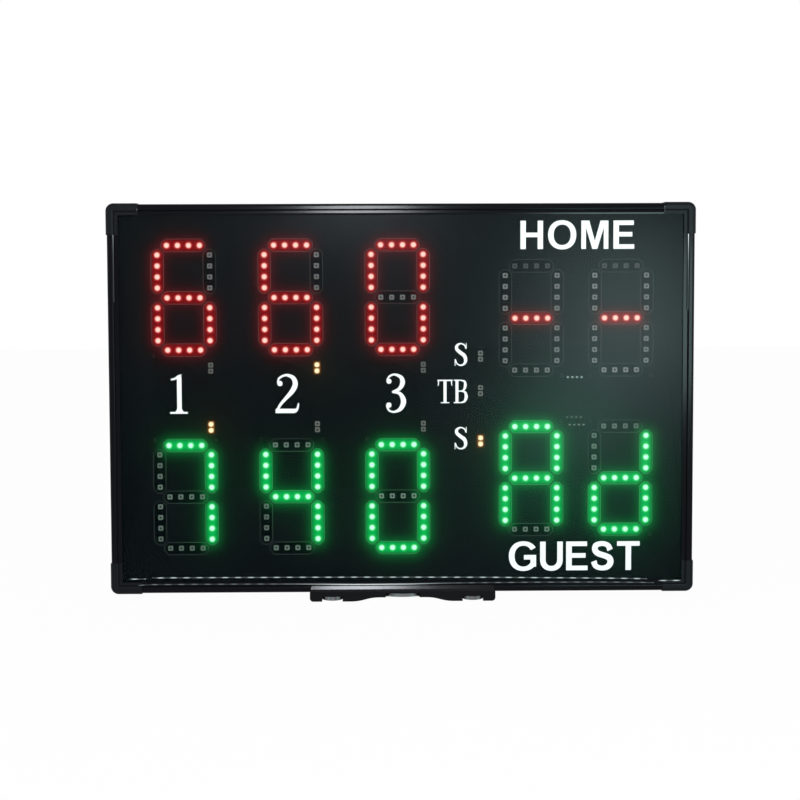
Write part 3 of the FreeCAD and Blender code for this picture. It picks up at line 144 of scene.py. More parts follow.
# %% One material
class Finish(Shader):
    """A material. Its constants are values of the shader's sockets, with _ for a space in their names."""

    def __init__(self, name, gloss=0.5, **constants):
        self.material = bpy.data.materials.new(name)
        self.material.use_nodes = True
        super().__init__(self.material.node_tree)
        self.surface = self.tree.nodes["Principled BSDF"]
        for socket, value in {"Specular_IOR_Level": gloss, **constants}.items():
            self.join(value, self.surface.inputs[socket.replace("_", " ")])

    def feed(self, socket, value):
        """Sends a wire to a socket of the shader."""
        self.join(value, self.surface.inputs[socket])
        return self

    def place(self, stretch=(1.0, 1.0, 1.0)):
        """Object coordinates in metres, stretched along each axis."""
        where = self.add("TexCoord", output="Object")
        return self.add("VectorMath", {"operation": "MULTIPLY"}, {0: where, 1: stretch})

    def height(self):
        """Height above the origin in metres."""
        return self.add("SeparateXYZ", {}, {0: self.place()}, output=2)

    def glow(self):
        """The colour that a piece's points carry."""
        return self.add("VertexColor", {"layer_name": "glow"})

    def noise(self, density, detail=3.0, rough=0.5):
        """Soft random values from 0 to 1, so many per metre: one number, or one for each axis."""
        stretch = density if hasattr(density, "__len__") else (density,) * 3
        return self.add("TexNoise", {}, {"Vector": self.place(stretch), "Scale": 1.0,
                                         "Detail": detail, "Roughness": rough})

    def blend(self, share, first, second):
        """A colour between two others."""
        return self.add("Mix", {"data_type": "RGBA"}, {0: share, 6: first, 7: second}, output=2)

    def bump(self, height, depth=1.0):
        """Small relief: the height is multiplied by a depth in metres."""
        relief = self.add("Bump", {}, {"Strength": 1.0, "Distance": depth, "Height": height})
        return self.feed("Normal", relief)


# %% Recipes for finishes
PATCHES, DRIFT = 18.0, 0.06


def luminous(name, **constants):
    """A finish that gives off the colour of its piece's points."""
    finish = Finish(name, Emission_Strength=1.0, **constants)
    return finish.feed("Emission Color", finish.glow())


def grained(name, colour, rough, speckle=900.0, depth=0.00002, tint=0.25, lean=0.0, level=0.0, **constants):
    """A moulded, painted or cast finish: colour and roughness drift with a broad noise, and a fine noise
    gives the grain its relief. Above a level, a lean lets the relief fall off by so much per metre. A
    colour that is one number is a grey."""
    finish = Finish(name, **constants)
    broad = finish.noise(PATCHES)
    fine = finish.noise(speckle, detail=2.0)
    dark, light = (np.full(3, colour) * share for share in (1.0 - tint, 1.0 + tint))
    finish.feed("Base Color", finish.blend(broad, dark, light))
    finish.feed("Roughness", rough - DRIFT / 2 + DRIFT * broad)
    if not lean:
        return finish.bump(fine, depth)
    return finish.bump(depth * fine - lean * (finish.height() - level).within(0.0, 1.0))


def dress(finish, *names):
    """Gives CAD nodes their finish through the material slots of their objects."""
    for name in names:
        for holder in nodes[name].material_slots:
            holder.material = finish.material


# %% [markdown]
# ## The frame: anodised rails and moulded caps
#
# The rails are black anodised extrusions. Pulling the metal through its die leaves very fine lines along
# each rail, so the noise is stretched: a few lines per metre along it, thousands across. The caps have a
# fine, even grain. Both are so dark that gloss, not colour, shows them. The top rail's face leans back a
# little, which turns its glint down to the camera: the lean is a relief that falls with height.


# %% Finish the rails and caps
DIE_LINES = (6.0, 2600.0)
TOP_LEVEL, TOP_LEAN, LOW_LEAN = 0.3978, 0.092, 0.04


def anodised(name, along, lean=0.0, level=0.0):
    """Black anodised metal with die lines along one axis. Its face leans back above a level, and a
    little forward below it."""
    finish = Finish(name, gloss=0.07)
    lines = finish.noise(tuple(DIE_LINES[axis != along] for axis in range(3)), detail=2.0)
    broad = finish.noise(9.0)
    finish.feed("Base Color", finish.blend(broad, (0.001, 0.001, 0.002), (0.003, 0.003, 0.005)))
    finish.feed("Roughness", 0.09 + 0.05 * lines + 0.02 * broad)
    above = finish.height() - level
    relief = 0.000004 * lines - lean * above.within(0.0, 1.0)
    return finish.bump(relief + LOW_LEAN * above.within(-1.0, 0.0))


dress(anodised("black anodised top", 0, TOP_LEAN, TOP_LEVEL), "top_rail")
dress(anodised("black anodised level", 0), "bottom_rail")
dress(anodised("black anodised upright", 2), "left_rail", "right_rail")
caps = [name for name in nodes if name.startswith("corner_cap")]
dress(grained("moulded cap", (0.004, 0.005, 0.007), 0.30, depth=0.000010, gloss=0.09), *caps)
print("caps", len(caps))

# %% [markdown]
# ## Where the digits are
#
# Everything behind the window follows from the digits. The middle of each is read from its circuit board
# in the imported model. The boards of the set digits carry a tab for the marker lamps, so the tab is left
# out of the middle.

# %% Read the digits from their boards
DIGIT_HEIGHT = 123.0 * MM
digits = {}
for name in nodes:
    if name.endswith("_board") and ("set" in name or "game" in name):
        low, high = (np.array(corner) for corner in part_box(name))
        middle = (low + high) / 2
        if "home_set" in name:
            middle[2] = high[2] - DIGIT_HEIGHT / 2
        if "guest_set" in name:
            middle[2] = low[2] + DIGIT_HEIGHT / 2
        digits[name[:-6]] = middle[[0, 2]]
print("digits", {name: place.round(4).tolist() for name, place in digits.items()})

# %% [markdown]
# ## The seven segments
#
# A digit is seven bars: three level ones and two upright ones on each side. Every bar holds four lamps in
# an eight-sided opening of the mask. Each bar is named by its place, so a shown digit is a set of bars.

# %% List the bars and what each digit shows
COLUMN = 26.6 * MM
STOREY = 53.4 * MM
HALF_STOREY = 26.9 * MM
LAMP_STEP = 11.2 * MM
BARS = {
    "top": (0.0, STOREY, False), "middle": (0.0, 0.0, False), "bottom": (0.0, -STOREY, False),
    "upper_left": (-COLUMN, HALF_STOREY, True), "upper_right": (COLUMN, HALF_STOREY, True),
    "lower_left": (-COLUMN, -HALF_STOREY, True), "lower_right": (COLUMN, -HALF_STOREY, True),
}
SIGNS = {
    "0": set(BARS) - {"middle"},
    "4": {"upper_left", "middle", "upper_right", "lower_right"},
    "6": set(BARS) - {"upper_right"},
    "7": {"top", "upper_right", "lower_right"},
    "A": set(BARS) - {"bottom"},
    "d": {"upper_right", "middle", "lower_left", "lower_right", "bottom"},
    "-": {"middle"},
}
SHOWN = {
    "home_set_1": "6", "home_set_2": "6", "home_set_3": "0", "home_game_left": "-", "home_game_right": "-",
    "guest_set_1": "7", "guest_set_2": "4", "guest_set_3": "0", "guest_game_left": "A",
    "guest_game_right": "d",
}
bars = [(centre[0] + dx, centre[1] + dz, upright, digit.split("_")[0], bar in SIGNS[SHOWN[digit]])
        for digit, centre in digits.items() for bar, (dx, dz, upright) in BARS.items()]
print("bars", len(bars), "lit", sum(bar[-1] for bar in bars))

# %% [markdown]
# ## Every lamp, lit or not
#
# A lamp's place is its bar's middle plus a few steps along the bar. Marker lamps stand in pairs: one pair
# beside each set digit, and three pairs in the strip that shows who serves.

# %% Work out the lamps
MARKER_DROP = 72.0 * MM
MARKER_STEP = 6.2 * MM
LIT_MARKERS = {"guest_set_1", "home_set_2"}
serve_low, serve_high = (np.array(corner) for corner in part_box("serve_board"))
serve_x = (serve_low[0] + serve_high[0]) / 2
board_middle = (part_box("left_rail")[0][2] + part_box("left_rail")[1][2]) / 2
SERVE_RISES = {"serve_home": 43.3 * MM, "serve_tie": 7.8 * MM, "serve_guest": -44.0 * MM}

lamps = []
for x, z, upright, team, lit in bars:
    for step in (np.arange(4) - 1.5) * LAMP_STEP:
        lamps.append((x + (0.0 if upright else step), z + (step if upright else 0.0), team, lit))
pairs = [(digits[name][0] + COLUMN, digits[name][1] + MARKER_DROP * (-1 if "home" in name else 1),
          name in LIT_MARKERS) for name in digits if "set" in name]
pairs += [(serve_x, board_middle + rise, name == "serve_guest") for name, rise in SERVE_RISES.items()]
for x, z, lit in pairs:
    for end in (-0.5, 0.5):
        lamps.append((x, z + end * MARKER_STEP, "marker", lit))
lamp_xz = np.array([lamp[:2] for lamp in lamps])
lamp_team = np.array([lamp[2] for lamp in lamps])
lamp_lit = np.array([lamp[3] for lamp in lamps])
print("lamps", len(lamps), "lit", int(lamp_lit.sum()))

# %% [markdown]
# ## From arrays to pieces
#
# All new pieces are numpy arrays of points. A grid of rows and columns becomes quads by joining each
# point to its neighbours, and a closed ring joins its last column to its first. One helper puts points
# and faces in a mesh, gives it a finish and lets it ride on its body.


# %% Helpers for meshes
def quads(rows, columns, closed=False):
    """Faces of a grid: each point with the next along its row and those above, wrapping if closed."""
    number = np.arange(rows * columns).reshape(rows, columns)
    after = np.roll(number, -1, axis=1)
    if not closed:
        number, after = number[:, :-1], after[:, :-1]
    return np.stack([number[:-1], after[:-1], after[1:], number[1:]], axis=-1).reshape(-1, 4)


def repeat(faces, count, points_each):
    """The same faces for many copies: each copy's numbers start where the last one's end."""
    shift = np.arange(count)[:, None, None] * points_each
    return (faces[None] + shift).reshape(-1, faces.shape[1])


def make_piece(name, points, faces, finish, colours=None):
    """A mesh object at the origin from an array of points and lists of faces."""
    mesh = bpy.data.meshes.new(name)
    mesh.from_pydata(points.reshape(-1, 3).tolist(), [], [face for part in faces for face in part.tolist()])
    if colours is not None:
        layer = mesh.color_attributes.new("glow", "FLOAT_COLOR", "POINT")
        four = np.concatenate([colours, np.ones((len(colours), 1))], axis=1)
        layer.data.foreach_set("color", four.astype(np.float32).ravel())
    mesh.materials.append(finish.material)
    mesh.update()
    piece = bpy.data.objects.new(name, mesh)
    bpy.context.scene.collection.objects.link(piece)
    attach(piece, "board")
    print(name, "points", len(mesh.vertices), "faces", len(mesh.polygons))
    return piece


def make_strips(name, strips, finish, colours=None):
    """One piece from strips that are each two rows of points."""
    starts = np.cumsum([0] + [strip.shape[1] * 2 for strip in strips])
    faces = [quads(2, strip.shape[1]) + start for strip, start in zip(strips, starts)]
    make_piece(name, np.concatenate([strip.reshape(-1, 3) for strip in strips]), faces, finish, colours)


def at_depth(x, z, y):
    """Points from two arrays across the board and one depth."""
    x, z, y = np.broadcast_arrays(x, z, y)
    return np.stack([x, y, z], axis=-1)


# %% [markdown]
# ## How the glow spreads
#
# Light scattered in the window and in the openings falls off smoothly with distance. A bell curve, the
# exponential of minus the distance squared, is close to that. The glow at a point is the sum of the bell
# curves of all lit lamps, each in its own colour, so bars and corners blend by themselves.

# %% Add up the light of the lit lamps
HUES = {"home": (1.0, 0.005, 0.012), "guest": (0.004, 1.0, 0.18), "marker": (1.0, 0.40, 0.03)}


def light_at(x, z, reach, teams=tuple(HUES)):
    """Colour at each place: the sum over lit lamps of hue times exp(-(distance / reach) squared)."""
    x, z = np.ravel(x), np.ravel(z)
    total = np.zeros((len(x), 3))
    for team in teams:
        chosen = lamp_lit & (lamp_team == team)
        across = x[:, None] - lamp_xz[chosen, 0]
        up = z[:, None] - lamp_xz[chosen, 1]
        total += np.exp(-(across ** 2 + up ** 2) / reach ** 2).sum(axis=1)[:, None] * HUES[team]
    return total


print("light in the middle of a lit bar", light_at(*np.array(bars[0][:2])[:, None], 5 * MM).round(3))

# %% [markdown]
# ## The lamps themselves
#
# Each lamp is a small square package with a round cup in its face, in which the light is made. Rings of
# twelve points stacked from the back to the cup give that shape: a rounded square turns into a circle by
# one rule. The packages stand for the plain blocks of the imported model.

# %% Shape one lamp package
LAMP_HALF, LAMP_TALL, CUP_FLOOR = 2.5 * MM, 1.6 * MM, 0.82
LAMP_RINGS = ((1.0, 0.3, 0.0), (1.0, 0.3, 0.86), (0.95, 0.35, 1.0), (0.56, 1.0, 1.0), (0.42, 1.0, CUP_FLOOR))
ROUND = 12
board_front = float(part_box("home_set_1_board")[0][1])


def bent_circle(turn, power):
    """Cosine and sine of a turn raised to a power: a square near 0, a circle at 1."""
    circle = np.stack([np.cos(turn), np.sin(turn)], axis=-1)
    return np.sign(circle) * np.abs(circle) ** power


def lamp_shape():
    """Rings from the board to the floor of the cup, then one middle point, and the ring numbers. A ring
    is given by its reach as a share of half the package, its power and its share of the height."""
    points = []
    for reach, power, rise in LAMP_RINGS:
        across, up = (reach * LAMP_HALF * bent_circle((np.arange(ROUND) + 0.5) * 2 * np.pi / ROUND, power)).T
        points.append(np.stack([across, np.full(ROUND, -rise * LAMP_TALL), up], axis=-1))
    points.append(np.array([[0.0, -CUP_FLOOR * LAMP_TALL, 0.0]]))
    return np.concatenate(points), np.append(np.repeat(np.arange(len(LAMP_RINGS)), ROUND), len(LAMP_RINGS))


lamp_points, lamp_level = lamp_shape()
lamp_sides = quads(len(LAMP_RINGS), ROUND, closed=True)
last_ring = np.arange(ROUND) + (len(LAMP_RINGS) - 1) * ROUND
lamp_cup = np.stack([last_ring, np.roll(last_ring, -1), np.full(ROUND, len(LAMP_RINGS) * ROUND)], axis=-1)
print("faces of one lamp", len(lamp_sides) + len(lamp_cup))

# %% [markdown]
# ### Lit and unlit lamps
#
# An unlit package is milky white plastic with a dull cup. A lit one is so bright that a picture shows its
# middle nearly white and only its rim in colour. A colour attribute on the points tells the shader which
# is which: it is white-hot at the cup and pure hue at the sides.

# %% Finish the lamps
unlit_lamp = Finish("lamp package", gloss=0.4)
speck = unlit_lamp.noise(2500.0)
drift = unlit_lamp.noise((9.0, 9.0, 14.0), detail=1.0)
unlit_lamp.feed("Base Color", unlit_lamp.blend(0.12 * speck + (1.6 * drift - 0.5).within(0.0, 0.6),
                                               unlit_lamp.glow(), (0.16, 0.17, 0.15)))
unlit_lamp.feed("Roughness", 0.38 + 0.2 * speck)
lit_lamp = luminous("lit lamp", Base_Color=(0.05, 0.05, 0.05), Roughness=0.4)

HOT = {"home": (2.4, 1.5, 1.25), "guest": (1.3, 2.4, 1.75), "marker": (2.3, 2.0, 1.25)}
# Painted light: unlit packages are tinted in their team's hue, standing in for the light of the lit lamps
# near them.
NEIGHBOUR_LIGHT_TINT = {"home": (1.0, 0.94, 0.92), "guest": (0.74, 1.0, 0.80), "marker": (1.0, 0.97, 0.86)}
PACKAGE, CUP = 0.80, 0.04
SLOTS = {"home": "red_lamp", "guest": "green_lamp", "marker": "amber_lamp"}


def heated(team, heat):
    """The team's hue at heat 0 and the nearly white middle of a lit lamp at heat 1."""
    return np.array(HUES[team]) * (1 - heat) + np.array(HOT[team]) * heat


lit_heat = np.clip((lamp_level - 1) / 3.0, 0.0, 1.0)[:, None]
unlit_shade = np.where(lamp_level < 4, PACKAGE, CUP)[:, None]
print("slots of the lamps", SLOTS)

# %% Make the lamps
GAME_SIDE, TOP_BAR_SHADE = 30.0 * MM, 0.22
across, depth, up = lamp_points.T

# The unlit lamps of the top bars of the home game digits are painted in shade, at about a fifth of the
# brightness of the rest.
game = lamp_xz[:, 0] > GAME_SIDE
dull = game & (lamp_xz[:, 1] > lamp_xz[game & (lamp_team == "home"), 1].max() - 4 * MM)
for team, slot in SLOTS.items():
    for state, finish in (("lit", lit_lamp), ("unlit", unlit_lamp)):
        lit = state == "lit"
        chosen = (lamp_team == team) & (lamp_lit == lit)
        count = int(chosen.sum())
        faces = [repeat(part, count, len(lamp_points)) for part in (lamp_sides, lamp_cup)]
        colour = np.tile(heated(team, lit_heat) if lit else unlit_shade * NEIGHBOUR_LIGHT_TINT[team], (count, 1))
        shade = np.repeat(np.where(dull[chosen] & (not lit), TOP_BAR_SHADE, 1.0), len(lamp_points))[:, None]
        points = at_depth(lamp_xz[chosen, :1] + across, lamp_xz[chosen, 1:] + up, board_front + depth)
        piece = make_piece(f"{team}_{state}_lamps", points, faces, finish, colour * shade)
        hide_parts(team + "_lamps")

# %% [markdown]
# ## Light in the openings
#
# Round a lit lamp the floor of the opening glows in the full hue. A thin eight-sided sheet lies on the
# circuit board in every opening: a small grid that narrows at its ends by the bar's chamfer and takes its
# glow from the sum above. The same shape, drawn as a narrow band on the mask, is the fine line that can
# be seen round each bar. Its grey varies in a random mottle, and near lit lamps it gives off a painted glow
# in their hue.

# %% Cover the floor of each opening
BAR_HALF_LENGTH, BAR_HALF_WIDTH, BAR_CHAMFER = 22.2 * MM, 6.0 * MM, 4.0 * MM


def bar_width(along):
    """Half the bar's width at each place along it: full, then narrowing over the chamfer at 45 degrees."""
    return np.minimum(BAR_HALF_WIDTH, BAR_HALF_WIDTH - BAR_CHAMFER + (BAR_HALF_LENGTH - np.abs(along)))


STRAIGHT, RUNS, WIDTHS = 0.82, 31, 9
bar_xz = np.array([bar[:2] for bar in bars])
bar_upright = np.array([bar[2] for bar in bars])[:, None]
along = np.concatenate([[-1.0], np.linspace(-STRAIGHT, STRAIGHT, RUNS), [1.0]]) * BAR_HALF_LENGTH
run, side = np.meshgrid(along, np.linspace(-1.0, 1.0, WIDTHS), indexing="ij")
side = side * bar_width(run)


def on_bars(run, side):
    """Turns places along and across a bar into x and z on every bar."""
    x = bar_xz[:, :1] + np.where(bar_upright, side.ravel(), run.ravel())
    z = bar_xz[:, 1:] + np.where(bar_upright, run.ravel(), -side.ravel())
    return x, z


floor_x, floor_z = on_bars(run, side)
floor_glow = luminous("glow in the opening", Roughness=0.6, gloss=0.0)
floor_glow.feed("Base Color", floor_glow.blend(floor_glow.noise(700.0), (0.0002, 0.0004, 0.0004),
                                               (0.0006, 0.001, 0.001)))
FLOOR_REACH, ON_BOARD = 7.0 * MM, 0.05 * MM
FLOOR_SHARE = {"home": 0.26, "guest": 0.56, "marker": 0.10}
floor_light = sum(light_at(floor_x, floor_z, FLOOR_REACH, (team,)) * share
                  for team, share in FLOOR_SHARE.items())
floor_faces = repeat(quads(*run.shape), len(bars), run.size)
make_piece("opening_floors", at_depth(floor_x, floor_z, board_front - ON_BOARD), [floor_faces], floor_glow,
           floor_light)

# %% Cover the floors of the marker openings
MARKER_HALF_WIDE, MARKER_HALF_TALL = 3.9 * MM, 6.9 * MM
marker_run, marker_side = np.meshgrid(np.linspace(-1, 1, 15) * MARKER_HALF_TALL,
                                      np.linspace(-1, 1, 9) * MARKER_HALF_WIDE, indexing="ij")
pair_xz = np.array([pair[:2] for pair in pairs])
marker_x = pair_xz[:, :1] + marker_side.ravel()
marker_z = pair_xz[:, 1:] + marker_run.ravel()
marker_light = light_at(marker_x, marker_z, FLOOR_REACH, ("marker",)) * np.array((0.15, 0.13, 0.20))
make_piece("marker_floors", at_depth(marker_x, marker_z, board_front - ON_BOARD),
           [repeat(quads(*marker_run.shape), len(pairs), marker_run.size)], floor_glow,
           marker_light)

# %% Draw the fine line round each bar
mask_front = float(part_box("segment_mask")[0][1])
ON_MASK, LINE_START, LINE = 0.03 * MM, 0.25 * MM, 0.45 * MM


def bar_outline(grow):
    """The eight corners of a bar's opening, moved outwards by so much."""
    length, width = BAR_HALF_LENGTH + grow, BAR_HALF_WIDTH + grow
    cut = BAR_CHAMFER + grow * (2 - math.sqrt(2))
    end, flank = length - cut, width - cut
    run = np.array([-end, end, length, length, end, -end, -length, -length])
    side = np.array([-width, -width, -flank, flank, width, width, flank, -flank])
    return run, side


line_runs, line_sides = zip(bar_outline(LINE_START), bar_outline(LINE_START + LINE))
line_x, line_z = on_bars(np.array(line_runs), np.array(line_sides))
outlined = luminous("line round the bars", Roughness=0.6, gloss=0.2)
line_mottle = outlined.noise(260.0, detail=4.0)
outlined.feed("Base Color", outlined.blend(line_mottle, (0.018, 0.024, 0.021), (0.075, 0.095, 0.083)))
line_faces = repeat(quads(2, 8, closed=True), len(bars), 16)
# Painted glow: the line gives off the light of the lit lamps near it.
make_piece("bar_lines", at_depth(line_x, line_z, mask_front - ON_MASK), [line_faces], outlined,
           light_at(line_x, line_z, 6.5 * MM) * np.array((0.40, 0.75, 0.60)))

# %% [markdown]
# ## The bloom of a bright lamp
#
# A lit lamp looks larger than its package, because its light scatters in the milky resin round the cup.
# A small round sheet of soft light in front of each lit lamp shows that: white in the middle, then the
# hue, then nothing. Its rings carry the colour and how solid the sheet is, which feeds the alpha.

# %% Make the bloom discs
RINGS = np.array([0.0, 0.9, 1.6, 2.2, 2.8, 3.4, 4.2, 5.3]) * MM
TIGHT_RINGS = np.array([0.0, 1.0, 1.7, 2.3, 2.55, 2.75, 2.95, 3.08]) * MM
CORE = np.array([1.0, 1.0, 0.97, 0.75, 0.25, 0.05, 0.0, 0.0])
SOLID = np.array([1.0, 1.0, 1.0, 1.0, 0.9, 0.55, 0.22, 0.0])
SPOKES, IN_FRONT = 16, 0.25 * MM
bloom = luminous("bloom of a lamp", Base_Color=(0.0, 0.0, 0.0), Roughness=1.0, gloss=0.0)
bloom.feed("Alpha", bloom.add("Attribute", {"attribute_name": "solid"}, output=2))
first_ring = np.arange(SPOKES)
angle = first_ring * 2 * np.pi / SPOKES
disc_faces = quads(len(RINGS) - 1, SPOKES, closed=True)[:, ::-1]
middle_faces = np.stack([np.full(SPOKES, (len(RINGS) - 1) * SPOKES), first_ring, np.roll(first_ring, -1)],
                        axis=-1)


def around(values):
    """The value of each ring beyond the first for all its points, then the middle point's value."""
    return np.append(np.repeat(values[1:], SPOKES), values[0])


for team, slot in SLOTS.items():
    chosen = lamp_lit & (lamp_team == team)
    count = int(chosen.sum())
    rings = TIGHT_RINGS if team == "marker" else RINGS
    x = lamp_xz[chosen, :1] + np.append(rings[1:, None] * np.cos(angle), 0.0)
    z = lamp_xz[chosen, 1:] + np.append(rings[1:, None] * np.sin(angle), 0.0)
    colour = heated(team, around(CORE)[:, None])
    piece = make_piece(team + "_bloom", at_depth(x, z, mask_front + IN_FRONT),
                       [repeat(part, count, len(colour)) for part in (disc_faces, middle_faces)], bloom,
                       np.tile(colour, (count, 1)))
    layer = piece.data.attributes.new("solid", "FLOAT", "POINT")
    layer.data.foreach_set("value", np.tile(around(SOLID), count).astype(np.float32))

# %% [markdown]
# ## The smoked window
#
# The window is one sheet of dark acrylic. A constant alpha dims what lies behind, and the haze round the
# lit lamps is light scattered inside the sheet, so the front is a grid fine enough to hold the haze in a
# colour attribute. The corners are rounded by moving the points outside a corner's arc back onto it. The
# gloss belongs to the front face alone: the back face has a finish without it, or the openings would
# look paler than the mask that lies against that face.

# %% Shape the window
GRID = 2.4 * MM
CORNER = 5.0 * MM
window_low, window_high = (np.array(corner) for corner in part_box("front_window"))
columns = int((window_high[0] - window_low[0]) / GRID) + 1
rows = int((window_high[2] - window_low[2]) / GRID) + 1
window_x, window_z = np.meshgrid(np.linspace(window_low[0], window_high[0], columns),
                                 np.linspace(window_low[2], window_high[2], rows))


def round_corners(x, z, low, high, radius):
    """Moves each point beyond a corner's arc to the arc: its middle plus the radius in that direction."""
    middle_x = np.clip(x, low[0] + radius, high[0] - radius)
    middle_z = np.clip(z, low[2] + radius, high[2] - radius)
    away = np.hypot(x - middle_x, z - middle_z)
    shrink = np.where(away > radius, radius / np.maximum(away, 1e-9), 1.0)
    return middle_x + (x - middle_x) * shrink, middle_z + (z - middle_z) * shrink


window_x, window_z = round_corners(window_x, window_z, window_low, window_high, CORNER)
number = np.arange(rows * columns).reshape(rows, columns)
edge = np.concatenate([number[0, :-1], number[:-1, -1], number[-1, :0:-1], number[:0:-1, 0]])
back = np.arange(len(edge)) + rows * columns
front_points = at_depth(window_x, window_z, window_low[1]).reshape(-1, 3)
back_points = at_depth(window_x.ravel()[edge], window_z.ravel()[edge], window_high[1])
side_faces = np.stack([edge, back, np.roll(back, -1), np.roll(edge, -1)], axis=-1)
print("window grid", rows, "by", columns)

# %% Finish the window and add its haze
SMOKE = dict(Base_Color=(0.001, 0.005, 0.006), Alpha=0.30)
HAZES = ((9.0, ("home", "guest"), (0.16, 0.34, 0.30)), (5.0, ("marker",), (0.07, 0.07, 0.07)),
         (26.0, tuple(HUES), (0.004, 0.009, 0.012)))
GREEN_REACH, GREEN_PATCH, GREEN_START, GREEN_FADE = 55.0 * MM, (0.0, 0.0025, 0.006), 30.0 * MM, 90.0 * MM
smoked = luminous("smoked window", gloss=0.18, **SMOKE)
smoked.feed("Roughness", 0.16 + 0.08 * smoked.noise((7.0, 7.0, 12.0), detail=5.0, rough=0.6))
inner_face = Finish("back of the window", gloss=0.0, **SMOKE)
inner_face.feed("Roughness", 0.3 + 0.1 * inner_face.noise((7.0, 7.0, 12.0)))

front_x, front_z = front_points[:, 0], front_points[:, 2]
halo = sum(light_at(front_x, front_z, reach * MM, teams) * np.array(share) for reach, teams, share in HAZES)
patch_share = np.clip((front_x[:, None] - GREEN_START) / GREEN_FADE, 0.0, 1.0)
halo += light_at(front_x, front_z, GREEN_REACH, ("guest",)) * np.array(GREEN_PATCH) * patch_share
window = make_piece("smoked_window", np.concatenate([front_points, back_points]),
                    [quads(rows, columns), side_faces, back[None, ::-1]], smoked,
                    np.concatenate([halo, np.zeros((len(back), 3))]))
window.data.materials.append(inner_face.material)
front_count = (rows - 1) * (columns - 1)
back_count = len(window.data.polygons) - front_count
window.data.polygons.foreach_set("material_index", [0] * front_count + [1] * back_count)
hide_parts("front_window")

# %% [markdown]
# ## Legends
#
# The legends are cut from white film and stuck to the front of the window. They are drawn as strokes: a
# stroke is a line through a few points with a width at each, and its two edges lie half a width to each
# side. A smooth curve through the points is a Catmull-Rom spline.


# %% Strokes
def smooth_path(points, steps=10):
    """A Catmull-Rom curve: between two points it follows a cubic that also leans on their neighbours."""
    points = np.array(points, dtype=float)
    ends = np.concatenate([[2 * points[0] - points[1]], points, [2 * points[-1] - points[-2]]])
    before, start, stop, after = ends[:-3, None], ends[1:-2, None], ends[2:-1, None], ends[3:, None]
    t = np.linspace(0, 1, steps, endpoint=False)[None, :, None]
    curve = 0.5 * (2 * start + (stop - before) * t + (2 * before - 5 * start + 4 * stop - after) * t ** 2
                   + (3 * start - before - 3 * stop + after) * t ** 3)
    return np.concatenate([curve.reshape(-1, points.shape[1]), points[-1:]])


def stroke(*stops):
    """Two edges of a stroke through stops of (x, y, width): the path plus and minus half the width."""
    path = smooth_path(stops)
    direction = np.gradient(path[:, :2], axis=0)
    direction /= np.linalg.norm(direction, axis=1)[:, None]
    aside = np.stack([-direction[:, 1], direction[:, 0]], axis=-1) * path[:, 2:] / 2
    return path[:, :2] + aside, path[:, :2] - aside


def plate(left, low, right, high):
    """An upright rectangle as two edges."""
    return np.array([(left, high), (right, high)]), np.array([(left, low), (right, low)])


def slant(top_left, top_right, low_left, low_right):
    """A leaning bar from the top line to the base line."""
    return np.array([(low_left, 0.0), (top_left, 1.0)]), np.array([(low_right, 0.0), (top_right, 1.0)])


def arc(x, y, outer, inner, start, stop, power=0.92, steps=48):
    """Part of a ring between two ovals, from one angle to another in degrees."""
    shape = bent_circle(np.radians(np.linspace(start, stop, steps)), power)
    return (x, y) + shape * inner, (x, y) + shape * outer


def dot(x, y, radius):
    """A round spot as a ring whose hole has closed."""
    return arc(x, y, (radius, radius), (0.0, 0.0), 0, 360, power=1.0, steps=25)


# %% Draw the bold letters, one unit high
BOLD = {
    "H": (0.80, [plate(0, 0, 0.19, 1), plate(0.61, 0, 0.80, 1), plate(0.18, 0.42, 0.62, 0.58)]),
    "O": (1.00, [arc(0.5, 0.5, (0.50, 0.515), (0.302, 0.362), 0, 360)]),
    "M": (0.96, [plate(0, 0, 0.165, 1), plate(0.795, 0, 0.96, 1), slant(0.09, 0.28, 0.392, 0.56),
                 slant(0.68, 0.87, 0.40, 0.568)]),
    "E": (0.74, [plate(0, 0, 0.195, 1), plate(0.18, 0.84, 0.72, 1), plate(0.18, 0.435, 0.67, 0.595),
                 plate(0.18, 0, 0.74, 0.16)]),
    "G": (0.96, [arc(0.5, 0.5, (0.50, 0.515), (0.302, 0.362), 33, 322), plate(0.745, 0.13, 0.94, 0.53),
                 plate(0.52, 0.38, 0.94, 0.54)]),
    "U": (0.78, [plate(0, 0.36, 0.19, 1), plate(0.59, 0.36, 0.78, 1),
                 arc(0.39, 0.37, (0.39, 0.385), (0.20, 0.215), 180, 360)]),
    "S": (0.78, [stroke((0.66, 0.70, 0.20), (0.58, 0.86, 0.18), (0.38, 0.925, 0.17), (0.17, 0.86, 0.19),
                        (0.14, 0.70, 0.20), (0.25, 0.58, 0.20), (0.45, 0.51, 0.20), (0.63, 0.42, 0.21),
                        (0.67, 0.27, 0.21), (0.58, 0.125, 0.19), (0.38, 0.072, 0.17), (0.17, 0.14, 0.18),
                        (0.095, 0.31, 0.20))]),
    "T": (0.78, [plate(0, 0.84, 0.78, 1), plate(0.295, 0, 0.485, 0.85)]),
}
print("bold letters", "".join(BOLD))

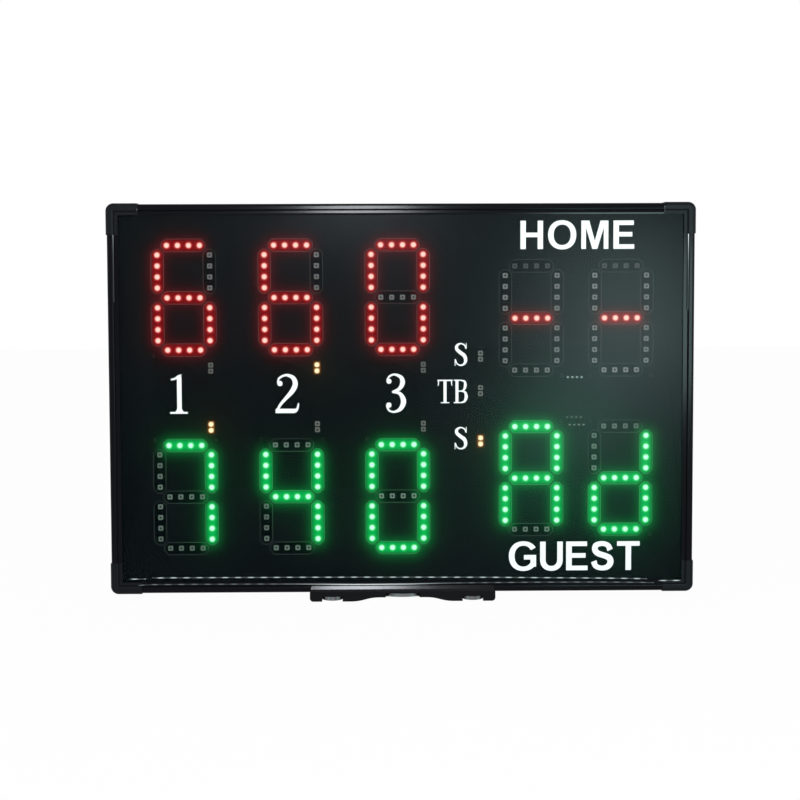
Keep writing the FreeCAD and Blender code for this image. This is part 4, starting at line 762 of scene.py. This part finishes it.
# %% Draw the letters and figures with feet, one unit high
FOOTED = {
    "1": (0.44, [stroke((0.03, 0.865, 0.042), (0.13, 0.885, 0.05), (0.24, 0.955, 0.076)),
                 plate(0.178, 0.02, 0.292, 0.94), stroke((0.21, 0.93, 0.067), (0.30, 0.995, 0.008)),
                 stroke((0.0, 0.028, 0.046), (0.44, 0.028, 0.046)),
                 stroke((0.235, 0.05, 0.218), (0.235, 0.12, 0.118))]),
    "2": (0.58, [dot(0.115, 0.755, 0.066),
                 stroke((0.055, 0.76, 0.034), (0.10, 0.89, 0.05), (0.27, 0.965, 0.059), (0.44, 0.90, 0.101),
                        (0.50, 0.74, 0.126), (0.42, 0.56, 0.118), (0.26, 0.38, 0.084), (0.12, 0.22, 0.067),
                        (0.04, 0.06, 0.059)),
                 stroke((0.0, 0.065, 0.109), (0.30, 0.065, 0.109), (0.50, 0.065, 0.109)),
                 stroke((0.49, 0.05, 0.084), (0.55, 0.13, 0.059), (0.58, 0.26, 0.029))]),
    "3": (0.545, [dot(0.11, 0.80, 0.062),
                  stroke((0.055, 0.81, 0.034), (0.12, 0.92, 0.046), (0.25, 0.97, 0.05), (0.41, 0.90, 0.092),
                         (0.45, 0.76, 0.118), (0.37, 0.61, 0.084), (0.19, 0.53, 0.042)),
                  stroke((0.19, 0.53, 0.042), (0.38, 0.49, 0.084), (0.475, 0.30, 0.13), (0.40, 0.11, 0.101),
                         (0.24, 0.03, 0.05), (0.11, 0.07, 0.046), (0.045, 0.19, 0.038)),
                  dot(0.105, 0.20, 0.066)]),
    "S": (0.60, [stroke((0.50, 0.76, 0.042), (0.44, 0.90, 0.05), (0.28, 0.965, 0.059), (0.13, 0.88, 0.109),
                        (0.12, 0.73, 0.134), (0.27, 0.58, 0.151), (0.43, 0.45, 0.151), (0.49, 0.26, 0.134),
                        (0.43, 0.10, 0.092), (0.28, 0.035, 0.059), (0.13, 0.11, 0.05), (0.06, 0.28, 0.042)),
                 stroke((0.515, 0.99, 0.025), (0.505, 0.74, 0.046)),
                 stroke((0.045, 0.01, 0.025), (0.055, 0.30, 0.046))]),
    "T": (0.64, [plate(0.0, 0.945, 0.64, 1.0), plate(0.255, 0.02, 0.385, 0.96),
                 plate(0.14, 0.0, 0.50, 0.04),
                 stroke((0.03, 0.98, 0.05), (0.045, 0.86, 0.042), (0.02, 0.74, 0.025)),
                 stroke((0.61, 0.98, 0.05), (0.595, 0.86, 0.042), (0.62, 0.74, 0.025))]),
    "B": (0.62, [plate(0.075, 0.02, 0.20, 0.98), plate(0.0, 0.955, 0.34, 1.0),
                 plate(0.0, 0.0, 0.36, 0.045), plate(0.20, 0.49, 0.34, 0.54),
                 stroke((0.32, 0.972, 0.046), (0.46, 0.92, 0.084), (0.49, 0.76, 0.118), (0.44, 0.58, 0.084),
                        (0.32, 0.515, 0.042)),
                 stroke((0.32, 0.515, 0.042), (0.48, 0.46, 0.092), (0.53, 0.27, 0.134), (0.46, 0.08, 0.092),
                        (0.32, 0.028, 0.046))]),
}
print("footed letters", "".join(FOOTED))

# %% [markdown]
# ### Set the words
#
# Each word is set between the edges that it has in the photograph: its letters share the height, and
# the gap between them is what is left of the width. Every stroke sits a hair in front of the one
# before it, because two sheets in exactly one plane would flicker where they cross.

# %% Make the legends
WORDS = [
    ("HOME", BOLD, 121.4, 237.7, 152.6, 181.4), ("GUEST", BOLD, 109.9, 245.2, -178.3, -148.3),
    ("1", FOOTED, -237.4, -219.4, -14.5, 26.3), ("2", FOOTED, -129.5, -105.9, -14.5, 26.3),
    ("3", FOOTED, -17.7, 4.5, -14.5, 26.3), ("S", FOOTED, 53.4, 68.1, 33.4, 57.3),
    ("TB", FOOTED, 36.5, 68.1, -4.6, 19.5), ("S", FOOTED, 53.3, 68.1, -52.4, -28.9),
]
FILM, LIFT = 0.05 * MM, 0.01 * MM


def word_strokes(word, alphabet, left, right, low, high):
    """The strokes of a word in board places: letters one after another, scaled to the word's box."""
    height = high - low
    spare = (right - left) / height - sum(alphabet[letter][0] for letter in word)
    gap = spare / max(len(word) - 1, 1)
    widen = 1.0 if len(word) > 1 else (right - left) / height / alphabet[word][0]
    start = 0.0
    for letter in word:
        width, strokes = alphabet[letter]
        for edges in strokes:
            yield [(edge * (widen, 1.0) + (start, 0.0)) * height * MM + (left * MM, board_middle + low * MM)
                   for edge in edges]
        start += width + gap


legend_strips = []
for word in WORDS:
    for order, (upper, lower) in enumerate(word_strokes(*word)):
        x, z = np.moveaxis(np.stack([lower, upper]), -1, 0)
        legend_strips.append(at_depth(x, z, window_low[1] - FILM - LIFT * order))
white_film = grained("white film", (0.90, 0.88, 0.87), 0.5, speckle=1500.0, depth=0.000004, tint=0.03,
                     gloss=0.3)
make_strips("legends", legend_strips, white_film)

# %% [markdown]
# ## Small solder pads
#
# Between the game digits short rows of bare solder pads catch the light behind the window. They are tiny
# flat sheets on the mask: each pad's place is added to the same four corners. The last number of each row
# is a painted sheen, which sets how bright that row's solder is drawn.

# %% Make the solder pads
PAD_STEP, PADS_IN_ROW = 4.75, 4
PAD_ROWS = ((170.6, 21.5, 2.0, 1.8, 0.42), (170.0, -19.7, 2.0, 1.3, 0.12), (172.8, -27.6, 2.2, 1.4, 0.18))
pad_rows = np.array([(start + PAD_STEP * count, *others) for start, *others in PAD_ROWS
                     for count in range(PADS_IN_ROW)])
pad_middles, pad_sizes = pad_rows[:, None, :2] * MM, pad_rows[:, None, 2:4] * MM
pad_corners = np.array([(-0.5, -0.5), (0.5, -0.5), (0.5, 0.5), (-0.5, 0.5)])
pad_x, pad_z = np.moveaxis(pad_middles + pad_corners * pad_sizes, -1, 0)
solder = Finish("solder", Metallic=0.6)
crumbs = solder.noise(3000.0)
solder.feed("Base Color", solder.blend(0.3 * crumbs, solder.glow(), (0.05, 0.06, 0.05)))
solder.feed("Roughness", 0.4 + 0.1 * crumbs)
# Painted sheen: each row's solder colour is set by how much light that row catches.
painted_pad_sheen = np.repeat(pad_rows[:, 4], 4)[:, None] * np.array((0.95, 1.0, 0.95))
make_piece("solder_pads", at_depth(pad_x, pad_z + board_middle, mask_front - ON_MASK),
           [np.arange(pad_x.size).reshape(-1, 4)], solder, painted_pad_sheen)

# %% [markdown]
# ## Hair-thin bright lines
#
# Three edges catch the light as lines less than a millimetre wide, and all three are painted highlights: a
# line on the window just above the bottom rail's lip, a line along the top edge of that rail's bead, and
# streaks on the outer beads of the uprights. Each is a strip two points wide. The first two are broken into
# flecks of one pitch, so their colour follows a sine wave along the line. The highlights on the beads, and
# two short ones at joints of the top caps, fade downward.

# %% Draw the painted highlight above the bottom rail's lip
LIP_GLINT_PLACES = (-258, -181, -106, -54, 8, 90, 163, 215, 253)
LIP_GLINT_LEVELS = (-183.9, -183.9, -184.0, -184.2, -184.5, -185.1, -186.1, -186.8, -187.5)
LIP_GLINT_ENDS = ((-281.5, -264.0, -185.0), (264.0, 288.0, -189.0))
LINE_HEIGHT, LINE_STEP, ON_FACE, LIP_DEPTH = 0.85 * MM, 1.3, 0.04 * MM, 2.0 * MM
lip_front = float(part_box("left_rail")[0][1]) + LIP_DEPTH


def thin_line(places, levels, depth):
    """Two rows of points through a few places and levels: half the line's height above and below."""
    x = np.arange(places[0], places[-1], LINE_STEP) * MM
    level = np.interp(x, np.array(places) * MM, np.array(levels) * MM)
    rows = board_middle + np.stack([level - LINE_HEIGHT / 2, level + LINE_HEIGHT / 2])
    return at_depth(x[None], rows, depth - ON_FACE)


def dashed_highlight_colour(x, pitch):
    """A painted highlight: dim between the flecks and bright in them, the upper half of a sine wave along
    the line.
    """
    bright = np.clip(np.sin(x * 2 * np.pi / pitch) + 0.25, 0.0, 1.0)[:, None]
    return (0.07 + 0.75 * bright) * np.array((0.94, 0.99, 1.0))


# One finish for all three painted highlights: its base colour is the colour of the points.
painted_highlight_finish = Finish("painted edge highlight", Roughness=0.35, gloss=0.3)
uneven = painted_highlight_finish.noise((22.0, 1.0, 1.0), detail=1.0)
painted_highlight_finish.feed("Base Color", painted_highlight_finish.blend(0.4 * uneven, painted_highlight_finish.glow(), (0.05, 0.055, 0.06)))
lip_glint_lines = [thin_line(LIP_GLINT_PLACES, LIP_GLINT_LEVELS, window_low[1])]
for (left, right, level), depth in zip(LIP_GLINT_ENDS, (window_low[1], lip_front)):
    lip_glint_lines.append(thin_line((left, right), (level, level), depth))
lip_glint_x = np.concatenate([line[..., 0].ravel() for line in lip_glint_lines])
make_strips("lip_glint_line", lip_glint_lines, painted_highlight_finish, dashed_highlight_colour(lip_glint_x, 13.3 * MM))

# %% Draw the painted highlight on the bottom rail's bead
BEAD_GLINT_PLACES = (-272, -258, -218, -136, -54, 8, 49, 131, 193, 245, 261)
BEAD_GLINT_LEVELS = (-190.9, -190.2, -190.1, -190.3, -190.7, -190.8, -190.3, -189.9, -190.1, -190.6, -191.1)
GLINT_MIDDLE, GLINT_REACH = -35.0 * MM, 55.0 * MM
DIP, DIP_REACH = 0.5 * MM, 50.0 * MM
bead_glint = thin_line(BEAD_GLINT_PLACES, BEAD_GLINT_LEVELS, lip_front)
bead_glint[..., 2] -= DIP * np.exp(-((bead_glint[..., 0] - GLINT_MIDDLE) / DIP_REACH) ** 2)
bead_glint_x = bead_glint[..., 0].ravel()
# Painted highlight: brightest round the glint's middle, faintly dashed elsewhere.
glint = np.exp(-((bead_glint_x - GLINT_MIDDLE) / GLINT_REACH) ** 2)[:, None]
make_strips("bead_glint_edge", [bead_glint], painted_highlight_finish,
            np.maximum(0.22 * dashed_highlight_colour(bead_glint_x, 13.6 * MM), 1.25 * glint))

# %% Draw the painted highlights on the rails' outer beads
bead_front = float(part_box("right_rail")[0][1])
# Painted highlights: each streak fades downward from its top, and the last two are short ones at the joints
# of the top caps.
HIGHLIGHT_STREAKS = ((292.2, 167.6, 90.0, 0.9, 0.80), (-292.3, 168.0, 100.0, 1.0, 0.20),
           (267.9, 195.6, 189.6, 0.9, 0.35), (-268.0, 194.0, 191.6, 1.0, 0.90))
STREAK_POINTS, FADE = 40, 5.5
highlight_streaks, streak_colour = [], []
for place, top, foot, wide, shine in HIGHLIGHT_STREAKS:
    down = np.linspace(top, foot, STREAK_POINTS) * MM + board_middle
    sides = np.array([[place - wide / 2], [place + wide / 2]]) * MM
    highlight_streaks.append(at_depth(sides, down, bead_front - ON_FACE))
    fading = shine * np.exp(-FADE * np.linspace(0, 1, STREAK_POINTS))
    streak_colour.append(np.tile(fading, 2)[:, None] * np.array((0.97, 0.99, 1.0)))
make_strips("bead_highlight_streaks", highlight_streaks, painted_highlight_finish, np.concatenate(streak_colour))

# %% [markdown]
# ## Finishes of everything else
#
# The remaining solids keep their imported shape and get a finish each. Most are moulded, painted or plated,
# and one recipe covers those. Metal parts that were turned or drawn get lines along their working
# direction instead.

# %% Finish the metal pieces
def drawn_metal(name, colour, rough, density, depth=0.000008, dullness=0.72):
    """Bare or plated metal with fine working lines: noise stretched along the lines."""
    finish = Finish(name, Metallic=1.0)
    lines = finish.noise(density, detail=2.0)
    broad = finish.noise(25.0)
    colour = np.full(3, colour)
    finish.feed("Base Color", finish.blend(0.5 * broad + 0.5 * lines, dullness * colour, colour))
    finish.feed("Roughness", rough + 0.15 * broad)
    return finish.bump(lines, depth)


dress(drawn_metal("knurled steel", (0.24, 0.245, 0.255), 0.28, (1100.0, 1100.0, 40.0), depth=0.00002,
                  dullness=0.25), "clamp_screw_left", "clamp_screw_right", "tripod_nut")
dress(drawn_metal("zinc plate", (0.48, 0.48, 0.46), 0.34, 200.0),
      "corner_angles", "nut_retainer", "battery_contacts", "wall_hanger_left", "wall_hanger_right")
dress(drawn_metal("black screw", (0.05, 0.05, 0.055), 0.36, 1500.0),
      "corner_screws", "rear_panel_screws", "hatch_screws", "retainer_screws")
dress(drawn_metal("steel screw", 0.5, 0.3, 1500.0), "board_screws", "charging_socket_nut")

# %% Finish the bracket, rear panel and other outer pieces
BRACKET_LEVEL, BRACKET_LEAN = 0.0126, 0.119
dress(grained("satin black paint", (0.002, 0.002, 0.003), 0.12, speckle=700.0, depth=0.00001,
              lean=BRACKET_LEAN, level=BRACKET_LEVEL, gloss=0.105), "stand_bracket")
dress(grained("powder coat", (0.022, 0.022, 0.024), 0.52, speckle=1100.0, depth=0.00006,
              gloss=0.4), "rear_panel", "battery_hatch")
dress(grained("gloss black plastic", (0.012, 0.012, 0.013), 0.2, depth=0.000006, gloss=0.4),
      "switch_housing", "switch_rocker", "charging_socket")
dress(grained("clamp pad nylon", 0.03, 0.5), "clamp_pad_left", "clamp_pad_right")

# %% Finish what sits inside
dress(grained("matt mask", (0.002, 0.004, 0.005), 0.75, speckle=1400.0, depth=0.00003,
              gloss=0.04), "segment_mask")
boards = [name for name in nodes if name.endswith("_board")]
dress(grained("black solder resist", (0.008, 0.016, 0.011), 0.38, speckle=420.0, tint=0.5),
      *boards, "receiver_module")
dress(grained("foam", 0.03, 0.9, speckle=1800.0, depth=0.0001),
      "window_gasket", "window_packers")
dress(grained("white nylon", (0.72, 0.72, 0.68), 0.45), "board_spacers", "control_stand_offs")
dress(grained("cream plastic", (0.62, 0.58, 0.46), 0.4), "board_plugs")
dress(grained("black resin", 0.02, 0.45), "control_parts")
dress(grained("inner plastic", 0.03, 0.5), "battery_cradle")
dress(grained("cell sleeve", (0.05, 0.16, 0.42), 0.3, tint=0.12), "battery_cells")
dress(grained("red lead", (0.42, 0.02, 0.02), 0.42, tint=0.15), "inner_leads")
dress(grained("black lead", 0.02, 0.5), "receiver_aerial")
ribbon = Finish("ribbon cable", Roughness=0.45)
wires = ribbon.add("TexWave", {"bands_direction": "X"}, {"Vector": ribbon.place((900.0, 1.0, 900.0)),
                                                         "Scale": 0.32, "Distortion": 0.4}, output=1)
ribbon.feed("Base Color", ribbon.blend(wires, (0.14, 0.15, 0.16), (0.34, 0.35, 0.37)))
dress(ribbon.bump(wires, 0.0002), "ribbon_cables")

replaced = ["front_window"] + [team + "_lamps" for team in SLOTS]
left_bare = [name for name in nodes if name not in replaced
             and any(holder.material is None or len(holder.material.node_tree.nodes) < 5
                     for holder in nodes[name].material_slots)]
print("solids without a worked finish:", left_bare)

# %% [markdown]
# ## Floor and light
#
# The photograph has a pure white ground. The floor is a white sheet, mixed with a plain white light for
# the rays that are seen, so that it reads as white but still shows a soft shadow. The sky is white to
# those rays too, and gentle for the light that falls on the board. Seven soft lamps give the glints that
# the photograph shows: a tall one above and a small bright one for the rails, one in front for the soft
# patch at the window's top, one on each side for the uprights, and two to the right, one pale and one
# green, whose reflections are the haze on the window.

# %% Lay the floor
SPAN = 8.0
white_floor = Finish("white floor", Roughness=0.9, gloss=0.1)
white_floor.feed("Base Color", white_floor.blend(white_floor.noise(1.5), (0.90, 0.90, 0.90),
                                                 (0.93, 0.93, 0.93)))
white_light = white_floor.add("Emission", {}, {"Color": (1.0, 1.0, 1.0), "Strength": 1.0})
lit_sheet = Wire(white_floor, white_floor.surface.outputs[0])
mixed = white_floor.add("MixShader", {}, {0: 0.97 * white_floor.seen(), 1: lit_sheet, 2: white_light})
white_floor.join(mixed, white_floor.tree.nodes["Material Output"].inputs["Surface"])
sheet = bpy.data.meshes.new("floor")
sheet.from_pydata([(SPAN * x, SPAN * y, 0.0) for x, y in ((-1, -1), (1, -1), (1, 1), (-1, 1))], [],
                  [(0, 1, 2, 3)])
sheet.materials.append(white_floor.material)
floor = bpy.data.objects.new("floor", sheet)
bpy.context.scene.collection.objects.link(floor)
print("floor", 2 * SPAN, "m wide")

# %% Light the sky
SKY_LIGHT = 0.4
world = bpy.data.worlds.new("sky")
bpy.context.scene.world = world
world.use_nodes = True
sky = Shader(world.node_tree)
background = sky.tree.nodes["Background"]
sky.join(SKY_LIGHT + (1.0 - SKY_LIGHT) * sky.seen(), background.inputs["Strength"])
sky.join((1.0, 1.0, 1.0), background.inputs["Color"])
bpy.context.scene.view_settings.view_transform = "Standard"
print("sky light on the board", SKY_LIGHT)

# %% Hang the lamps
def soft_light(name, place, target, size, brightness, colour):
    """A rectangular light of so many metres. Its power is its brightness times pi times its area."""
    light = bpy.data.lights.new(name, "AREA")
    light.color = colour
    light.shape = "RECTANGLE"
    light.size, light.size_y = size
    light.energy = brightness * math.pi * size[0] * size[1]
    holder = bpy.data.objects.new(name, light)
    holder.location = place
    holder.rotation_euler = (Vector(target) - Vector(place)).to_track_quat("-Z", "Y").to_euler()
    holder.visible_camera = False
    bpy.context.scene.collection.objects.link(holder)
    print(name, "power", round(light.energy, 1))


centre = (0.0, 0.0, board_middle)
LIGHTS = (
    ("light above", (-0.055, -1.9, 1.5), centre, (0.12, 0.6), 32.0, (1.0, 0.97, 0.93)),
    ("light for the glints", (-0.068, -1.9, 0.85), centre, (0.19, 0.14), 100.0, (0.90, 0.94, 1.0)),
    ("light in front", (-0.068, -1.9, 0.57), centre, (0.2, 0.12), 38.0, (0.75, 0.86, 1.0)),
    ("light left", (-1.6, -0.9, 0.45), centre, (0.12, 1.3), 9.0, (1.0, 1.0, 1.0)),
    ("light right", (1.5, -0.8, 0.45), centre, (0.2, 1.3), 8.0, (0.8, 0.95, 1.0)),
    ("light haze", (0.62, -2.6, 0.25), (0.2, 0.0, 0.2), (0.38, 0.40), 25.0, (0.70, 1.0, 0.99)),
    ("light green", (0.327, -1.3, 0.084), (0.17, 0.0, 0.18), (0.16, 0.14), 18.0, (0.3, 1.0, 0.70)),
)
for light in LIGHTS:
    soft_light(*light)
